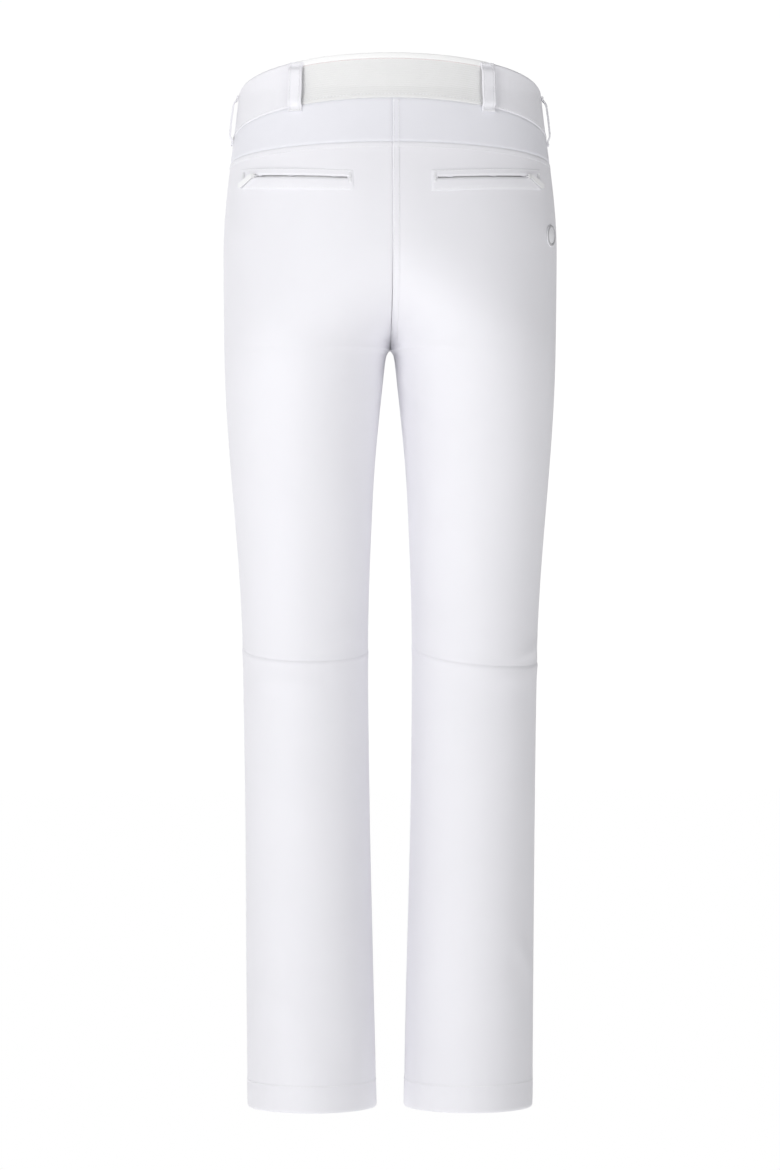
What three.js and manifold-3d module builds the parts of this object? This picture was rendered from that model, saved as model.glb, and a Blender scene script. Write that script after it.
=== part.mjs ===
// Women's ski trousers, empty and hanging in their worn shape, in millimetres with +Z up.
// They face -Y, so the wearer's left is at +X, and the frame's origin is the centre of the waist opening.
import * as THREE from "three";
import { mergeVertices } from "three/addons/utils/BufferGeometryUtils.js";
import Module from "manifold-3d";

const wasm = await Module();
wasm.setup();

// ---------- Driving dimensions ----------
const INSEAM = 774; // from the hem to the crotch point
const RISE = 296; // from the crotch point to the waist edge at the centre back
const KNEE_HEIGHT = 460; // from the hem to the knee's axis
const WAIST_WIDTH = 310;
const WAIST_DEPTH = 196;
const WAIST_DROP = 68; // how much lower the waist edge is at the front than at the back
const HIP_WIDTH = 342;
const HIP_BACK = 122; // from the side seam's plane to the seat
const HIP_FRONT = 103;
const THIGH_WIDTH = 170; // one leg, at the crotch
const THIGH_BACK = 107;
const THIGH_FRONT = 95;
const KNEE_WIDTH = 128.5;
const KNEE_DEPTH = 146;
const KNEE_GAP = 45; // between the two legs
const HEM_WIDTH = 132;
const HEM_DEPTH = 172;
const HEM_GAP = 28;
const HIP_RISE = 100; // from the crotch point to the widest part of the hips
const CROTCH_CURVE = 190; // height of the curve of the centre seam above the crotch point
const KNEE_FLEX = 90; // degrees
const KNEE_EASE = 7; // left between thigh and calf when the knee is bent that far

const CLOTH = 1.6; // shell and lining together
const BAND = 2.4; // a doubled waistband
const TRIM = 0.9; // tapes, linings and facings
const SEAM = 0.3; // clearance between two pieces that are sewn together
const CLEAR = 0.3; // clearance between two parts that touch or run on each other
const LOOSE = 1.8; // clearance behind the shell for a loose layer

const BAND_HEIGHT = 46;
const ELASTIC_HALF = 96; // half the width of the stretch panel at the back
const YOKE_HEIGHT = 45; // below the waistband at the centre back
const YOKE_RISE = 15; // how much higher the yoke seam is at the centre back than at the side
const HEM_TURN = 27;
const HEM_EASE = 0.8; // from the hem's edge up to its facing

const LOOP_WIDTH = 15;
const LOOP_GAP = 3.4; // room for a belt
const LOOP_FRONT_X = 80;

const TAB_ROOT = -38; // x of the fold where the waist tab starts
const TAB_TIP = 24;
const TAB_GAP = 2.6; // between the tab and the waistband under it
const UNDERLAP_TIP = -30;
const SNAP_X = 9;
const SNAP_RADIUS = 7.5;
const SNAP_SPACING = 21;

const CHAIN_WIDTH = 5;
const CHAIN_HEIGHT = 2.6;
const CHAIN_PROUD = 0.3;
const TAPE_WIDTH = 26;
const SLIDER_WIDTH = 8.6;
const POCKET_SLIDER_WIDTH = 7.2;
const SLIDER_LENGTH = 11;
const SLIDER_STOP = 1.5; // from the end of the chain to a slider at rest
const SLIDER_PLAY = 0.7; // on each side of a slider in its slit
const PLATE = 1.2; // thickness of a slider's top
const WALL = 1.1; // thickness of its sides
const BRIDGE = { width: 1.4, length: 4.4, above: 1.5 }; // above the puller's pin
const PIN_HEIGHT = 2.4; // of the puller's pin above the slider's top
const PIN_RADIUS = 0.65;
const ARM = { width: 1.1, radius: 1.4, reach: 3.6 }; // beside the bridge
const PULLER = { length: 24, width: 5.2, thickness: 1.3 };
const PULLER_DROOP = 0.55; // radians, of the back pockets' pullers
const ZIP_MARGIN = 5; // tape past each end of the chain

const FLY_ZIP = 96;
const UNDERLAP_EDGE = 32; // x of the seam that holds the fly's underlap
const HAND_ZIP_TOP = { fromSide: 49, down: 22 }; // down from the waistband
const HAND_ZIP_FOOT = { fromSide: 33, down: 162 };
const HAND_BAG = { fromUnderlap: [24, 10], past: 14, drop: 40 }; // at its foot and top, past the zip, below it

const POCKET_FROM_CENTRE = 39; // to the inner end of a back pocket's window
const POCKET_FROM_SIDE = 18; // to its outer end
const POCKET_HEIGHT = 22; // of the window
const POCKET_END = 8; // solid cloth at each end of the slot
const POCKET_SLOT = 3; // between the two lips
const POCKET_LIP = 7; // height of the upper lip
const POCKET_BELOW_YOKE = 37; // from the yoke seam at the centre back to the opening
const POCKET_RISE = 6; // how much higher the outer end is
const LIP_PROUD = 0.5; // of the panel around it
const LIP_ROOM = 1.4; // between the lips and the slider, which is flat where the seat slopes
const POCKET_BAG = { drop: 130, rise: 6, depth: 10.5 };

const GAITER_TOP = 190;
const GAITER_FOOT = { width: 96, depth: 108, height: 16 };
const ELASTIC_BAND = 14;
const BADGE = { radius: 11, thickness: 1.2, angle: 0.32, below: 90 }; // below the yoke seam at the centre
const FACETS = 10; // flats across one panel

// ---------- Heights that follow from them ----------
const HALF_SEAM = SEAM / 2;
const SIDE_HEIGHT = INSEAM + RISE - WAIST_DROP / 2; // of the waist edge at the side seam
const WAIST_SLOPE = WAIST_DROP / WAIST_DEPTH;
const HIP_HEIGHT = INSEAM + HIP_RISE;
const THIGH_HEIGHT = (KNEE_HEIGHT + INSEAM) / 2;
const KNEE_FOLD = (KNEE_DEPTH / 2) * Math.tan(THREE.MathUtils.degToRad(KNEE_FLEX / 2)) + KNEE_EASE;
const KNEE_TOP = KNEE_HEIGHT + KNEE_FOLD;
const KNEE_BOTTOM = KNEE_HEIGHT - KNEE_FOLD;

// ---------- The outer surface ----------
// A smooth curve of value against height through a few stations, which never overshoots them.
function profile(...stations) {
  const n = stations.length - 1;
  const rise = stations.slice(1).map(([z, v], i) => (v - stations[i][1]) / (z - stations[i][0]));
  const slope = stations.map((_, i) => {
    if (i === 0) return rise[0];
    if (i === n) return rise[n - 1];
    return rise[i - 1] * rise[i] <= 0 ? 0 : (2 * rise[i - 1] * rise[i]) / (rise[i - 1] + rise[i]);
  });
  return (height) => {
    const z = THREE.MathUtils.clamp(height, stations[0][0], stations[n][0]);
    let i = 0;
    while (i < n - 1 && z > stations[i + 1][0]) i++;
    const h = stations[i + 1][0] - stations[i][0];
    const t = (z - stations[i][0]) / h;
    const [p, q] = [stations[i][1], stations[i + 1][1]];
    return (
      p * (1 + 2 * t) * (1 - t) ** 2 +
      h * slope[i] * t * (1 - t) ** 2 +
      q * t * t * (3 - 2 * t) +
      h * slope[i + 1] * t * t * (t - 1)
    );
  };
}

const outer = profile(
  [0, HEM_GAP / 2 + HEM_WIDTH],
  [KNEE_HEIGHT, KNEE_GAP / 2 + KNEE_WIDTH],
  [INSEAM, THIGH_WIDTH + HALF_SEAM],
  [HIP_HEIGHT, HIP_WIDTH / 2],
  [SIDE_HEIGHT, WAIST_WIDTH / 2],
);
const inner = profile(
  [0, HEM_GAP / 2],
  [KNEE_HEIGHT, KNEE_GAP / 2],
  [THIGH_HEIGHT, 0.4 * KNEE_GAP],
  [INSEAM - 25, 6.4],
  [INSEAM - 4, 3.4],
  [INSEAM, HALF_SEAM],
);
const back = profile(
  [0, HEM_DEPTH / 2],
  [KNEE_HEIGHT, KNEE_DEPTH / 2],
  [INSEAM, THIGH_BACK],
  [HIP_HEIGHT, HIP_BACK],
  [SIDE_HEIGHT, WAIST_DEPTH / 2],
);
const front = profile(
  [0, HEM_DEPTH / 2],
  [KNEE_HEIGHT, KNEE_DEPTH / 2],
  [INSEAM, THIGH_FRONT],
  [HIP_HEIGHT, HIP_FRONT],
  [SIDE_HEIGHT, WAIST_DEPTH / 2],
);

// The left half's section at a height: an oval that the centre plane cuts off above the crotch.
function section(z) {
  if (z <= INSEAM) {
    return { centre: (outer(z) + inner(z)) / 2, half: (outer(z) - inner(z)) / 2, end: Math.PI };
  }
  const risen = Math.min((z - INSEAM) / CROTCH_CURVE, 1);
  const share = (1 - risen ** 1.15) ** 4;
  const half = (outer(z) - HALF_SEAM) / (1 + share);
  return { centre: HALF_SEAM + share * half, half, end: Math.acos(-share) };
}

// A point at an angle from the side seam, positive towards the back, moved out along the surface's normal.
function onSkin(angle, z, out = 0) {
  const depth = Math.sin(angle) > 0 ? back : front;
  const at = (height) => {
    const { centre, half } = section(height);
    return new THREE.Vector3(centre + half * Math.cos(angle), depth(height) * Math.sin(angle), height);
  };
  const point = at(z);
  const { half } = section(z);
  const along = new THREE.Vector3(-half * Math.sin(angle), depth(z) * Math.cos(angle), 0);
  const up = at(z + 0.5).sub(at(z - 0.5));
  return point.addScaledVector(along.cross(up).normalize(), out);
}

// turn runs from -1 at the front centre or inseam, by 0 at the side seam, to 1 at the back centre or inseam.
function skin(turn, z, out = 0) {
  const { end } = section(z);
  return onSkin(turn * end, z, out);
}

// The angle where the surface has a given x, on the front or on the back.
function angleAt(x, z, facing) {
  const { centre, half } = section(z);
  return facing * Math.acos(THREE.MathUtils.clamp((x - centre) / half, -1, 1));
}
const FRONT = -1;
const BACK = 1;

// turn moved along the surface by a distance, towards the side seam if it is positive.
function pulled(turn, z, distance) {
  const step = 1e-3;
  const perTurn = skin(turn, z).distanceTo(skin(turn - Math.sign(turn) * step, z)) / step;
  return turn - (Math.sign(turn) * distance) / perTurn;
}

// The waist is one oval. angle runs from 0 at the left side by 90 degrees at the back to 180 at the right.
function onWaist(angle, z, out = 0) {
  const at = (height, side) =>
    new THREE.Vector3(
      outer(height) * Math.cos(angle),
      (Math.sin(angle) > 0 ? back : front)(height) * Math.sin(angle),
      height,
    );
  const depth = Math.sin(angle) > 0 ? back(z) : front(z);
  const along = new THREE.Vector3(-outer(z) * Math.sin(angle), depth * Math.cos(angle), 0);
  const up = at(z + 0.5).sub(at(z - 0.5));
  return at(z).addScaledVector(along.cross(up).normalize(), out);
}

// The height of a line parallel to the waist edge, some distance below it.
function belowWaist(point, distance) {
  let z = SIDE_HEIGHT;
  for (let i = 0; i < 6; i++) z = SIDE_HEIGHT + point(z).y * WAIST_SLOPE - distance;
  return z;
}
const waistPoint = (angle, down, out = 0) =>
  onWaist(angle, belowWaist((z) => onWaist(angle, z), down), out);
const waistAngle = (x, facing) => facing * Math.acos(x / (WAIST_WIDTH / 2));

// The yoke seam's height at a turn.
const yokeCentre = belowWaist((z) => onWaist(Math.PI / 2, z), BAND_HEIGHT) - YOKE_HEIGHT;
const yokeSeam = (turn) => yokeCentre - YOKE_RISE * (1 - Math.sin((Math.abs(turn) * Math.PI) / 2));
const bandSeam = (turn) => belowWaist((z) => skin(turn, z), BAND_HEIGHT);

// ---------- Solids ----------
function toSolid(geometry) {
  const bare = geometry.clone();
  bare.deleteAttribute("normal");
  bare.deleteAttribute("uv");
  const merged = mergeVertices(bare, 1e-4);
  return new wasm.Manifold(
    new wasm.Mesh({
      numProp: 3,
      vertProperties: merged.attributes.position.array,
      triVerts: new Uint32Array(merged.index.array),
    }),
  );
}

function toGeometry(solid) {
  const mesh = solid.getMesh();
  const made = new THREE.BufferGeometry();
  made.setAttribute("position", new THREE.BufferAttribute(mesh.vertProperties, 3));
  made.setIndex(new THREE.BufferAttribute(mesh.triVerts, 1));
  return made;
}

const join = (first, ...others) =>
  toGeometry(others.reduce((solid, other) => solid.add(toSolid(other)), toSolid(first)));
const cut = (first, ...tools) =>
  toGeometry(tools.reduce((solid, tool) => solid.subtract(toSolid(tool)), toSolid(first)));

// A closed sheet: place(i, j, layer) gives the grid's points on its outer layer, 0, and its inner layer, 1.
// Columns run so that outside, columns and rows make a right-handed set. A wrapped sheet closes on itself.
function sheet(columns, rows, place, wrapped = false) {
  const points = [];
  const width = columns + (wrapped ? 0 : 1);
  for (let layer = 0; layer < 2; layer++)
    for (let j = 0; j <= rows; j++)
      for (let i = 0; i < width; i++) points.push(place(i, j, layer));
  const at = (i, j, layer) => (layer * (rows + 1) + j) * width + (i % width);
  const faces = [];
  const quad = (a, b, c, d) => faces.push(a, b, c, a, c, d);
  for (let i = 0; i < columns; i++) {
    for (let j = 0; j < rows; j++) {
      quad(at(i, j, 0), at(i + 1, j, 0), at(i + 1, j + 1, 0), at(i, j + 1, 0));
      quad(at(i, j, 1), at(i, j + 1, 1), at(i + 1, j + 1, 1), at(i + 1, j, 1));
    }
    quad(at(i, 0, 0), at(i, 0, 1), at(i + 1, 0, 1), at(i + 1, 0, 0));
    quad(at(i, rows, 0), at(i + 1, rows, 0), at(i + 1, rows, 1), at(i, rows, 1));
  }
  if (!wrapped) {
    for (let j = 0; j < rows; j++) {
      quad(at(0, j, 0), at(0, j + 1, 0), at(0, j + 1, 1), at(0, j, 1));
      quad(at(columns, j, 0), at(columns, j, 1), at(columns, j + 1, 1), at(columns, j + 1, 0));
    }
  }
  const made = new THREE.BufferGeometry();
  made.setAttribute(
    "position",
    new THREE.Float32BufferAttribute(points.flatMap((p) => [p.x, p.y, p.z]), 3),
  );
  made.setIndex(faces);
  return made;
}

const mix = (a, b, t) => a + (b - a) * t;

// A panel of shell cloth between two turns; rows(turn) lists its heights from the bottom up.
function panel(fromTurn, toTurn, rows) {
  return sheet(FACETS, rows(fromTurn).length - 1, (i, j, layer) => {
    const nominal = mix(fromTurn, toTurn, i / FACETS);
    const z = rows(nominal)[j];
    const turn = i === 0 || i === FACETS ? seamTurn(nominal, i === 0, z) : nominal;
    const point = skin(turn, z, -layer * CLOTH);
    return z === 0 ? point.setZ(0) : point; // the hem's edge is flat
  });
}

// Half a seam's clearance back from a panel's edge, unless the edge is already clear of the centre plane.
function seamTurn(nominal, first, z) {
  if (nominal === 0) return (first ? 1 : -1) * (HALF_SEAM / skin(0.01, z).distanceTo(skin(0, z))) * 0.01;
  return z > INSEAM ? nominal : pulled(nominal, z, HALF_SEAM);
}

// ---------- Materials ----------
const cloth = new THREE.MeshStandardMaterial({ color: 0xeeeef3, roughness: 0.75, metalness: 0 });
const stretch = new THREE.MeshStandardMaterial({ color: 0xe6e6e4, roughness: 0.85, metalness: 0 });
const lining = new THREE.MeshStandardMaterial({ color: 0xe9e9ee, roughness: 0.6, metalness: 0 });
const coil = new THREE.MeshStandardMaterial({ color: 0xededed, roughness: 0.5, metalness: 0 });
const steel = new THREE.MeshStandardMaterial({ color: 0xc9c9cc, roughness: 0.3, metalness: 1 });
const rubber = new THREE.MeshStandardMaterial({ color: 0xe4e4e8, roughness: 0.55, metalness: 0 });

function piece(parent, name, geometry, material) {
  const made = new THREE.Mesh(geometry, material);
  made.name = name;
  parent.add(made);
  return made;
}

const model = new THREE.Group();
const trousers = new THREE.Group();
trousers.position.z = -SIDE_HEIGHT;
model.add(trousers);
const left = new THREE.Group();
const right = new THREE.Group();
right.scale.x = -1;
trousers.add(left, right);
const sides = [
  ["left", left],
  ["right", right],
];

// ---------- Zips ----------
// A frame on the surface: x across the zip, y along it towards its closed end, z outwards.
function frameOf(origin, along, outwards) {
  const y = along.clone().normalize();
  const x = new THREE.Vector3().crossVectors(y, outwards).normalize();
  const z = new THREE.Vector3().crossVectors(x, y);
  return new THREE.Matrix4().makeBasis(x, y, z).setPosition(origin);
}

function box(x, y, z, width, length, height) {
  return new THREE.BoxGeometry(width, length, height).translate(x, y, z);
}

// The slider is a saddle over the chain with a bridge for its puller. Its plate's underside is at height.
const pocketPinHeight = LIP_ROOM + CLOTH + ARM.radius + 1; // to clear the lips over the plate
const armX = BRIDGE.width / 2 + CLEAR + ARM.width / 2;
function sliderShape(height, width, pin = PIN_HEIGHT) {
  const top = height + PLATE;
  const plate = new THREE.Shape();
  plate.absellipse(0, 0, width / 2, SLIDER_LENGTH / 2 + 0.6, 0, 2 * Math.PI);
  const rounded = new THREE.ExtrudeGeometry(plate, { depth: PLATE, bevelEnabled: false, curveSegments: 8 });
  const flange = (side) =>
    box((side * (width - WALL)) / 2, 0, height - 0.6, WALL, SLIDER_LENGTH, 1.8);
  const tall = pin + BRIDGE.above;
  const bridge = box(0, 0, top - 0.2 + tall / 2, BRIDGE.width, BRIDGE.length, tall);
  const eye = new THREE.CylinderGeometry(PIN_RADIUS + CLEAR, PIN_RADIUS + CLEAR, 4, 12).rotateZ(Math.PI / 2);
  return join(
    box(0, 0, height + PLATE / 2, width, SLIDER_LENGTH - 1, PLATE),
    rounded.translate(0, 0, height),
    flange(-1),
    flange(1),
    cut(bridge, eye.translate(0, 0, top + pin)),
  );
}

// The puller's pin turns in the slider's bridge between two arms. It hangs along -Y, and droop turns its
// tab sideways in the plane of the cloth.
function pullerShape(height, droop = 0, pinHeight = PIN_HEIGHT) {
  const pin = new THREE.CylinderGeometry(PIN_RADIUS, PIN_RADIUS, 2 * armX, 8).rotateZ(Math.PI / 2);
  const arm = (side) =>
    join(
      new THREE.CylinderGeometry(ARM.radius, ARM.radius, ARM.width, 12)
        .rotateZ(Math.PI / 2)
        .translate(side * armX, 0, 0),
      box(side * armX, -ARM.reach / 2, 0, ARM.width, ARM.reach, PULLER.thickness),
    );
  const outline = new THREE.Shape();
  const half = PULLER.width / 2;
  const end = PULLER.length - ARM.reach - half;
  outline.moveTo(-2.1, 1).lineTo(2.1, 1).lineTo(half, -4).lineTo(half, -end);
  outline.absarc(0, -end, half, 0, -Math.PI, true);
  outline.lineTo(-half, -4).closePath();
  const extrusion = { depth: PULLER.thickness, bevelEnabled: false, curveSegments: 5 };
  const tab = new THREE.ExtrudeGeometry(outline, extrusion);
  tab.translate(0, 0, -PULLER.thickness / 2).rotateZ(droop).translate(0, -ARM.reach - 0.4, 0);
  return join(pin, arm(-1), arm(1), tab).translate(0, 0, height + PLATE + pinHeight);
}

// How far the surface stands out from the straight line between two of its points.
function bulge(low, high, z, at) {
  const on = low.clone().lerp(high, (z - low.z) / (high.z - low.z));
  const surface = at(on.x, on.z, 0);
  return Math.max(0, surface.clone().sub(on).dot(at(on.x, on.z, 1).sub(surface)));
}

// A straight zip between two points of the surface, its closed end last. at(x, z, out) is that surface.
function addStraightZip(group, names, low, high, at) {
  const along = high.clone().sub(low);
  const length = along.length();
  const middle = low.clone().add(high).multiplyScalar(0.5);
  const outwards = at(middle.x, middle.z, 1).sub(at(middle.x, middle.z, 0));
  const frame = frameOf(low, along, outwards);
  const across = new THREE.Vector3().setFromMatrixColumn(frame, 0);
  const steps = Math.max(4, Math.round(length / 26));
  const tape = sheet(4, steps, (i, j, layer) => {
    const on = low.clone().addScaledVector(along, mix(-ZIP_MARGIN, length + ZIP_MARGIN, j / steps) / length);
    const p = on.clone().addScaledVector(across, mix(-TAPE_WIDTH / 2, TAPE_WIDTH / 2, i / 4));
    return at(p.x, p.z, -CLOTH - LOOSE - bulge(low, high, on.z, at) - layer * TRIM);
  });
  const sunk = CHAIN_HEIGHT + LOOSE;
  const chain = box(0, length / 2, CHAIN_PROUD - sunk / 2, CHAIN_WIDTH, length, sunk);
  piece(group, names.zip, join(tape, chain.applyMatrix4(frame)), coil);
  const top = length - SLIDER_LENGTH / 2 - SLIDER_STOP;
  const closed = new THREE.Matrix4().makeTranslation(0, top, 0).premultiply(frame);
  const under = CHAIN_PROUD + CLEAR;
  piece(group, names.slider, sliderShape(under, SLIDER_WIDTH).applyMatrix4(closed), steel);
  piece(group, names.puller, pullerShape(under).applyMatrix4(closed), steel);
  // the opening in the panel, wide enough for the slider to run in
  const slit = box(0, length / 2, 0, SLIDER_WIDTH + 2 * SLIDER_PLAY, length + 3, 16);
  return slit.applyMatrix4(frame);
}

// ---------- Fly ----------
const frontHalf = (x, z, out = 0) => onSkin(angleAt(x, z, FRONT), z, out);
function frontSurface(x, z, out = 0) {
  const p = frontHalf(Math.abs(x), z, out);
  return p.setX(Math.sign(x) * p.x);
}
const bandFoot = (x) => belowWaist((z) => frontSurface(x, z), BAND_HEIGHT) - SEAM;
const flyTop = bandFoot(0) - ZIP_MARGIN - CLEAR;
const flyFoot = flyTop - FLY_ZIP;
const flyHigh = frontSurface(0, flyTop);
const flyLow = frontSurface(0, flyFoot);

// The underlap hangs behind the zip and comes forward to the shell beside it; columns lists its x.
function flyUnderlap() {
  const tapeEdge = TAPE_WIDTH / 2 + 2;
  const step = 3.5;
  const columns = [-18, 0, tapeEdge, tapeEdge + step, tapeEdge + 2 * step, UNDERLAP_EDGE - 5, UNDERLAP_EDGE];
  const depth = profile(
    [tapeEdge, -CLOTH - 2 * LOOSE - TRIM - 0.6],
    [tapeEdge + 2 * step, -CLOTH - LOOSE],
  );
  return sheet(6, 5, (i, j, layer) => {
    const x = columns[i];
    const z = mix(flyFoot - 12, bandFoot(x), j / 5);
    const behindZip = Math.abs(x) < tapeEdge + 1 ? bulge(flyLow, flyHigh, z, frontSurface) : 0;
    return frontSurface(x, z, depth(x) - behindZip - layer * CLOTH);
  });
}

function addFly() {
  const names = { zip: "fly_zip", slider: "fly_slider", puller: "fly_puller" };
  piece(trousers, "fly_underlap", flyUnderlap(), cloth);
  return addStraightZip(trousers, names, flyLow, flyHigh, frontSurface);
}

// ---------- Waistband ----------
const halfSeamAngle = HALF_SEAM / (WAIST_DEPTH / 2);
const elasticEnd = waistAngle(ELASTIC_HALF, BACK);
const tabRoot = waistAngle(TAB_ROOT, FRONT);
const rampStart = TAB_TIP + 2; // x where the band starts to rise from under the tab
const rampEnd = TAB_TIP + 10;

// A length of band between two angles, its outer face depth behind the surface.
function band(from, to, columns, { top = 0, bottom = BAND_HEIGHT, thickness = BAND, depth = 0 } = {}) {
  return sheet(columns, 2, (i, j, layer) =>
    waistPoint(mix(from, to, i / columns), mix(bottom, top, j / 2), -depth - layer * thickness),
  );
}

// The left band runs on under the tab, set back, and rises to the surface beyond the tab's tip.
function leftBand() {
  const stops = [UNDERLAP_TIP, rampStart, rampEnd].map((x) => waistAngle(x, FRONT));
  stops.push(elasticEnd - halfSeamAngle);
  const counts = [4, 3, 14];
  const angles = counts.flatMap((count, k) =>
    Array.from({ length: count }, (_, i) => mix(stops[k], stops[k + 1], i / count)),
  );
  angles.push(stops[3]);
  const depth = profile([rampStart, BAND + TAB_GAP], [rampEnd, 0]);
  return sheet(angles.length - 1, 2, (i, j, layer) => {
    const x = i < counts[0] + counts[1] ? onWaist(angles[i], SIDE_HEIGHT).x : rampEnd;
    return waistPoint(angles[i], mix(BAND_HEIGHT, 0, j / 2), -depth(x) - layer * BAND);
  });
}

function addWaistband() {
  const rightRoot = 2 * Math.PI + tabRoot;
  const elasticFace = band(elasticEnd + halfSeamAngle, Math.PI - elasticEnd - halfSeamAngle, 10);
  const rightBand = band(Math.PI - elasticEnd + halfSeamAngle, rightRoot - halfSeamAngle, 14);
  const facing = band(waistAngle(rampEnd + 4, FRONT), rightRoot - 0.02, 30, {
    top: 1.5,
    bottom: BAND_HEIGHT - 2,
    thickness: TRIM,
    depth: BAND + LOOSE,
  });
  piece(trousers, "back_elastic", elasticFace, stretch);
  piece(trousers, "right_waistband", rightBand, cloth);
  piece(trousers, "left_waistband", leftBand(), cloth);
  piece(trousers, "waist_facing", facing, lining);
}

// ---------- Waist tab and its press studs ----------
function snapFrame(down) {
  const angle = waistAngle(SNAP_X, FRONT);
  const origin = waistPoint(angle, down, 0);
  const outwards = waistPoint(angle, down, 1).sub(origin);
  return frameOf(origin, new THREE.Vector3(0, 0, 1), outwards);
}

const STUD = { neck: 1.9, ball: 2.6, play: 0.5 };
const turned = (outline) =>
  new THREE.LatheGeometry(outline.map(([r, z]) => new THREE.Vector2(r, z)), 14).rotateX(Math.PI / 2);

// The cap's ball reaches through the tab into the socket; heights are from the tab's outer face.
function snapCap() {
  const reach = BAND + TAB_GAP - 0.8;
  return turned([
    [0, -reach],
    [STUD.ball, -reach],
    [STUD.ball, -BAND - CLEAR],
    [STUD.neck, -BAND - CLEAR],
    [STUD.neck, CLEAR],
    [SNAP_RADIUS, CLEAR],
    [SNAP_RADIUS, CLEAR + 0.9],
    [SNAP_RADIUS - 1.4, CLEAR + 1.7],
    [0, CLEAR + 2],
  ]);
}

function snapSocket() {
  const foot = -BAND - TAB_GAP + CLEAR;
  const lip = -BAND - 0.5;
  const hole = STUD.ball + STUD.play;
  return turned([
    [hole, foot],
    [SNAP_RADIUS - 1.2, foot],
    [SNAP_RADIUS - 1.2, foot + 0.7],
    [hole + 1.2, lip],
    [hole, lip],
    [hole, foot],
  ]);
}

function addSnaps() {
  const margin = (BAND_HEIGHT - SNAP_SPACING) / 2;
  const frames = { upper: snapFrame(margin), lower: snapFrame(BAND_HEIGHT - margin) };
  const holes = Object.values(frames).map((frame) => {
    const radius = STUD.neck + STUD.play;
    return new THREE.CylinderGeometry(radius, radius, 12, 12).rotateX(Math.PI / 2).applyMatrix4(frame);
  });
  const tab = band(tabRoot + halfSeamAngle, waistAngle(TAB_TIP, FRONT), 6);
  piece(trousers, "waist_tab", cut(tab, ...holes), cloth);
  for (const [name, frame] of Object.entries(frames)) {
    piece(trousers, `${name}_snap_cap`, snapCap().applyMatrix4(frame), steel);
    piece(trousers, `${name}_snap_socket`, snapSocket().applyMatrix4(frame), steel);
  }
}

// ---------- Back pockets ----------
const pocketInner = POCKET_FROM_CENTRE;
const pocketOuter = HIP_WIDTH / 2 - POCKET_FROM_SIDE;
const zipFrom = pocketInner + POCKET_END;
const zipTo = pocketOuter - POCKET_END;
const lipTop = POCKET_LIP + POCKET_SLOT / 2; // of the window, above the middle of the slot
const lipBottom = POCKET_HEIGHT - lipTop;
const pocketHeight = (x) =>
  yokeCentre - POCKET_BELOW_YOKE + (POCKET_RISE * (x - pocketInner)) / (pocketOuter - pocketInner);
const backAt = (x, z, out = 0) => onSkin(angleAt(x, z, BACK), z, out);
const openingAt = (x) => backAt(x, pocketHeight(x));

// The zip lies on the circle through three points of the opening, so its slider turns about that circle's axis.
function circleThrough(p, q, r) {
  const a = q.clone().sub(p);
  const b = r.clone().sub(p);
  const axis = a.clone().cross(b);
  const toB = axis.clone().cross(a).multiplyScalar(b.lengthSq());
  const toA = b.clone().cross(axis).multiplyScalar(a.lengthSq());
  const toCentre = toB.add(toA).divideScalar(2 * axis.lengthSq());
  return { centre: p.clone().add(toCentre), radius: toCentre.length(), axis: axis.normalize() };
}
const arc = circleThrough(openingAt(zipFrom), openingAt(mix(zipFrom, zipTo, 0.56)), openingAt(zipTo));

// A frame on that circle beside a point of the opening, its y towards the side seam.
function arcFrame(x) {
  const radial = openingAt(x).sub(arc.centre);
  radial.addScaledVector(arc.axis, -radial.dot(arc.axis)).normalize();
  const outwards = new THREE.Vector3().crossVectors(arc.axis, radial);
  if (outwards.x < 0) outwards.negate();
  return frameOf(arc.centre.clone().addScaledVector(radial, arc.radius), outwards, radial);
}

// Steps along the seat get shorter towards the side, where it curves most.
const alongSeat = (from, to, t) => mix(from, to, 1 - (1 - t) ** 1.25);

// A bar along the circle: low to high across it, and bottom to top outwards.
function curvedBar(from, to, low, high, bottom, top) {
  return sheet(12, 1, (i, j, layer) => {
    const p = new THREE.Vector3(j === 0 ? high : low, 0, layer === 0 ? top : bottom);
    return p.applyMatrix4(arcFrame(alongSeat(from, to, i / 12)));
  });
}

// A block that follows the seat around the opening, as big as the window and a margin.
function windowBlock(margin, top, thickness) {
  return sheet(12, 2, (i, j, layer) => {
    const x = mix(pocketOuter + margin, pocketInner - margin, i / 12);
    const z = pocketHeight(x) + mix(-lipBottom - margin, lipTop + margin, j / 2);
    return backAt(x, z, top - layer * thickness);
  });
}

function backWelt() {
  const slot = curvedBar(zipFrom - 2, zipTo + 2, -POCKET_SLOT / 2, POCKET_SLOT / 2, -14, 14);
  return cut(windowBlock(0, LIP_PROUD, CLOTH), slot);
}

function backBag() {
  const { drop, rise, depth } = POCKET_BAG;
  return sheet(8, 3, (i, j, layer) => {
    const x = mix(pocketOuter - POCKET_END, pocketInner, i / 8);
    const z = pocketHeight(x) + mix(-drop, lipTop + rise, j / 3);
    return backAt(x, z, -depth - layer * 2 * TRIM);
  });
}

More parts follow.
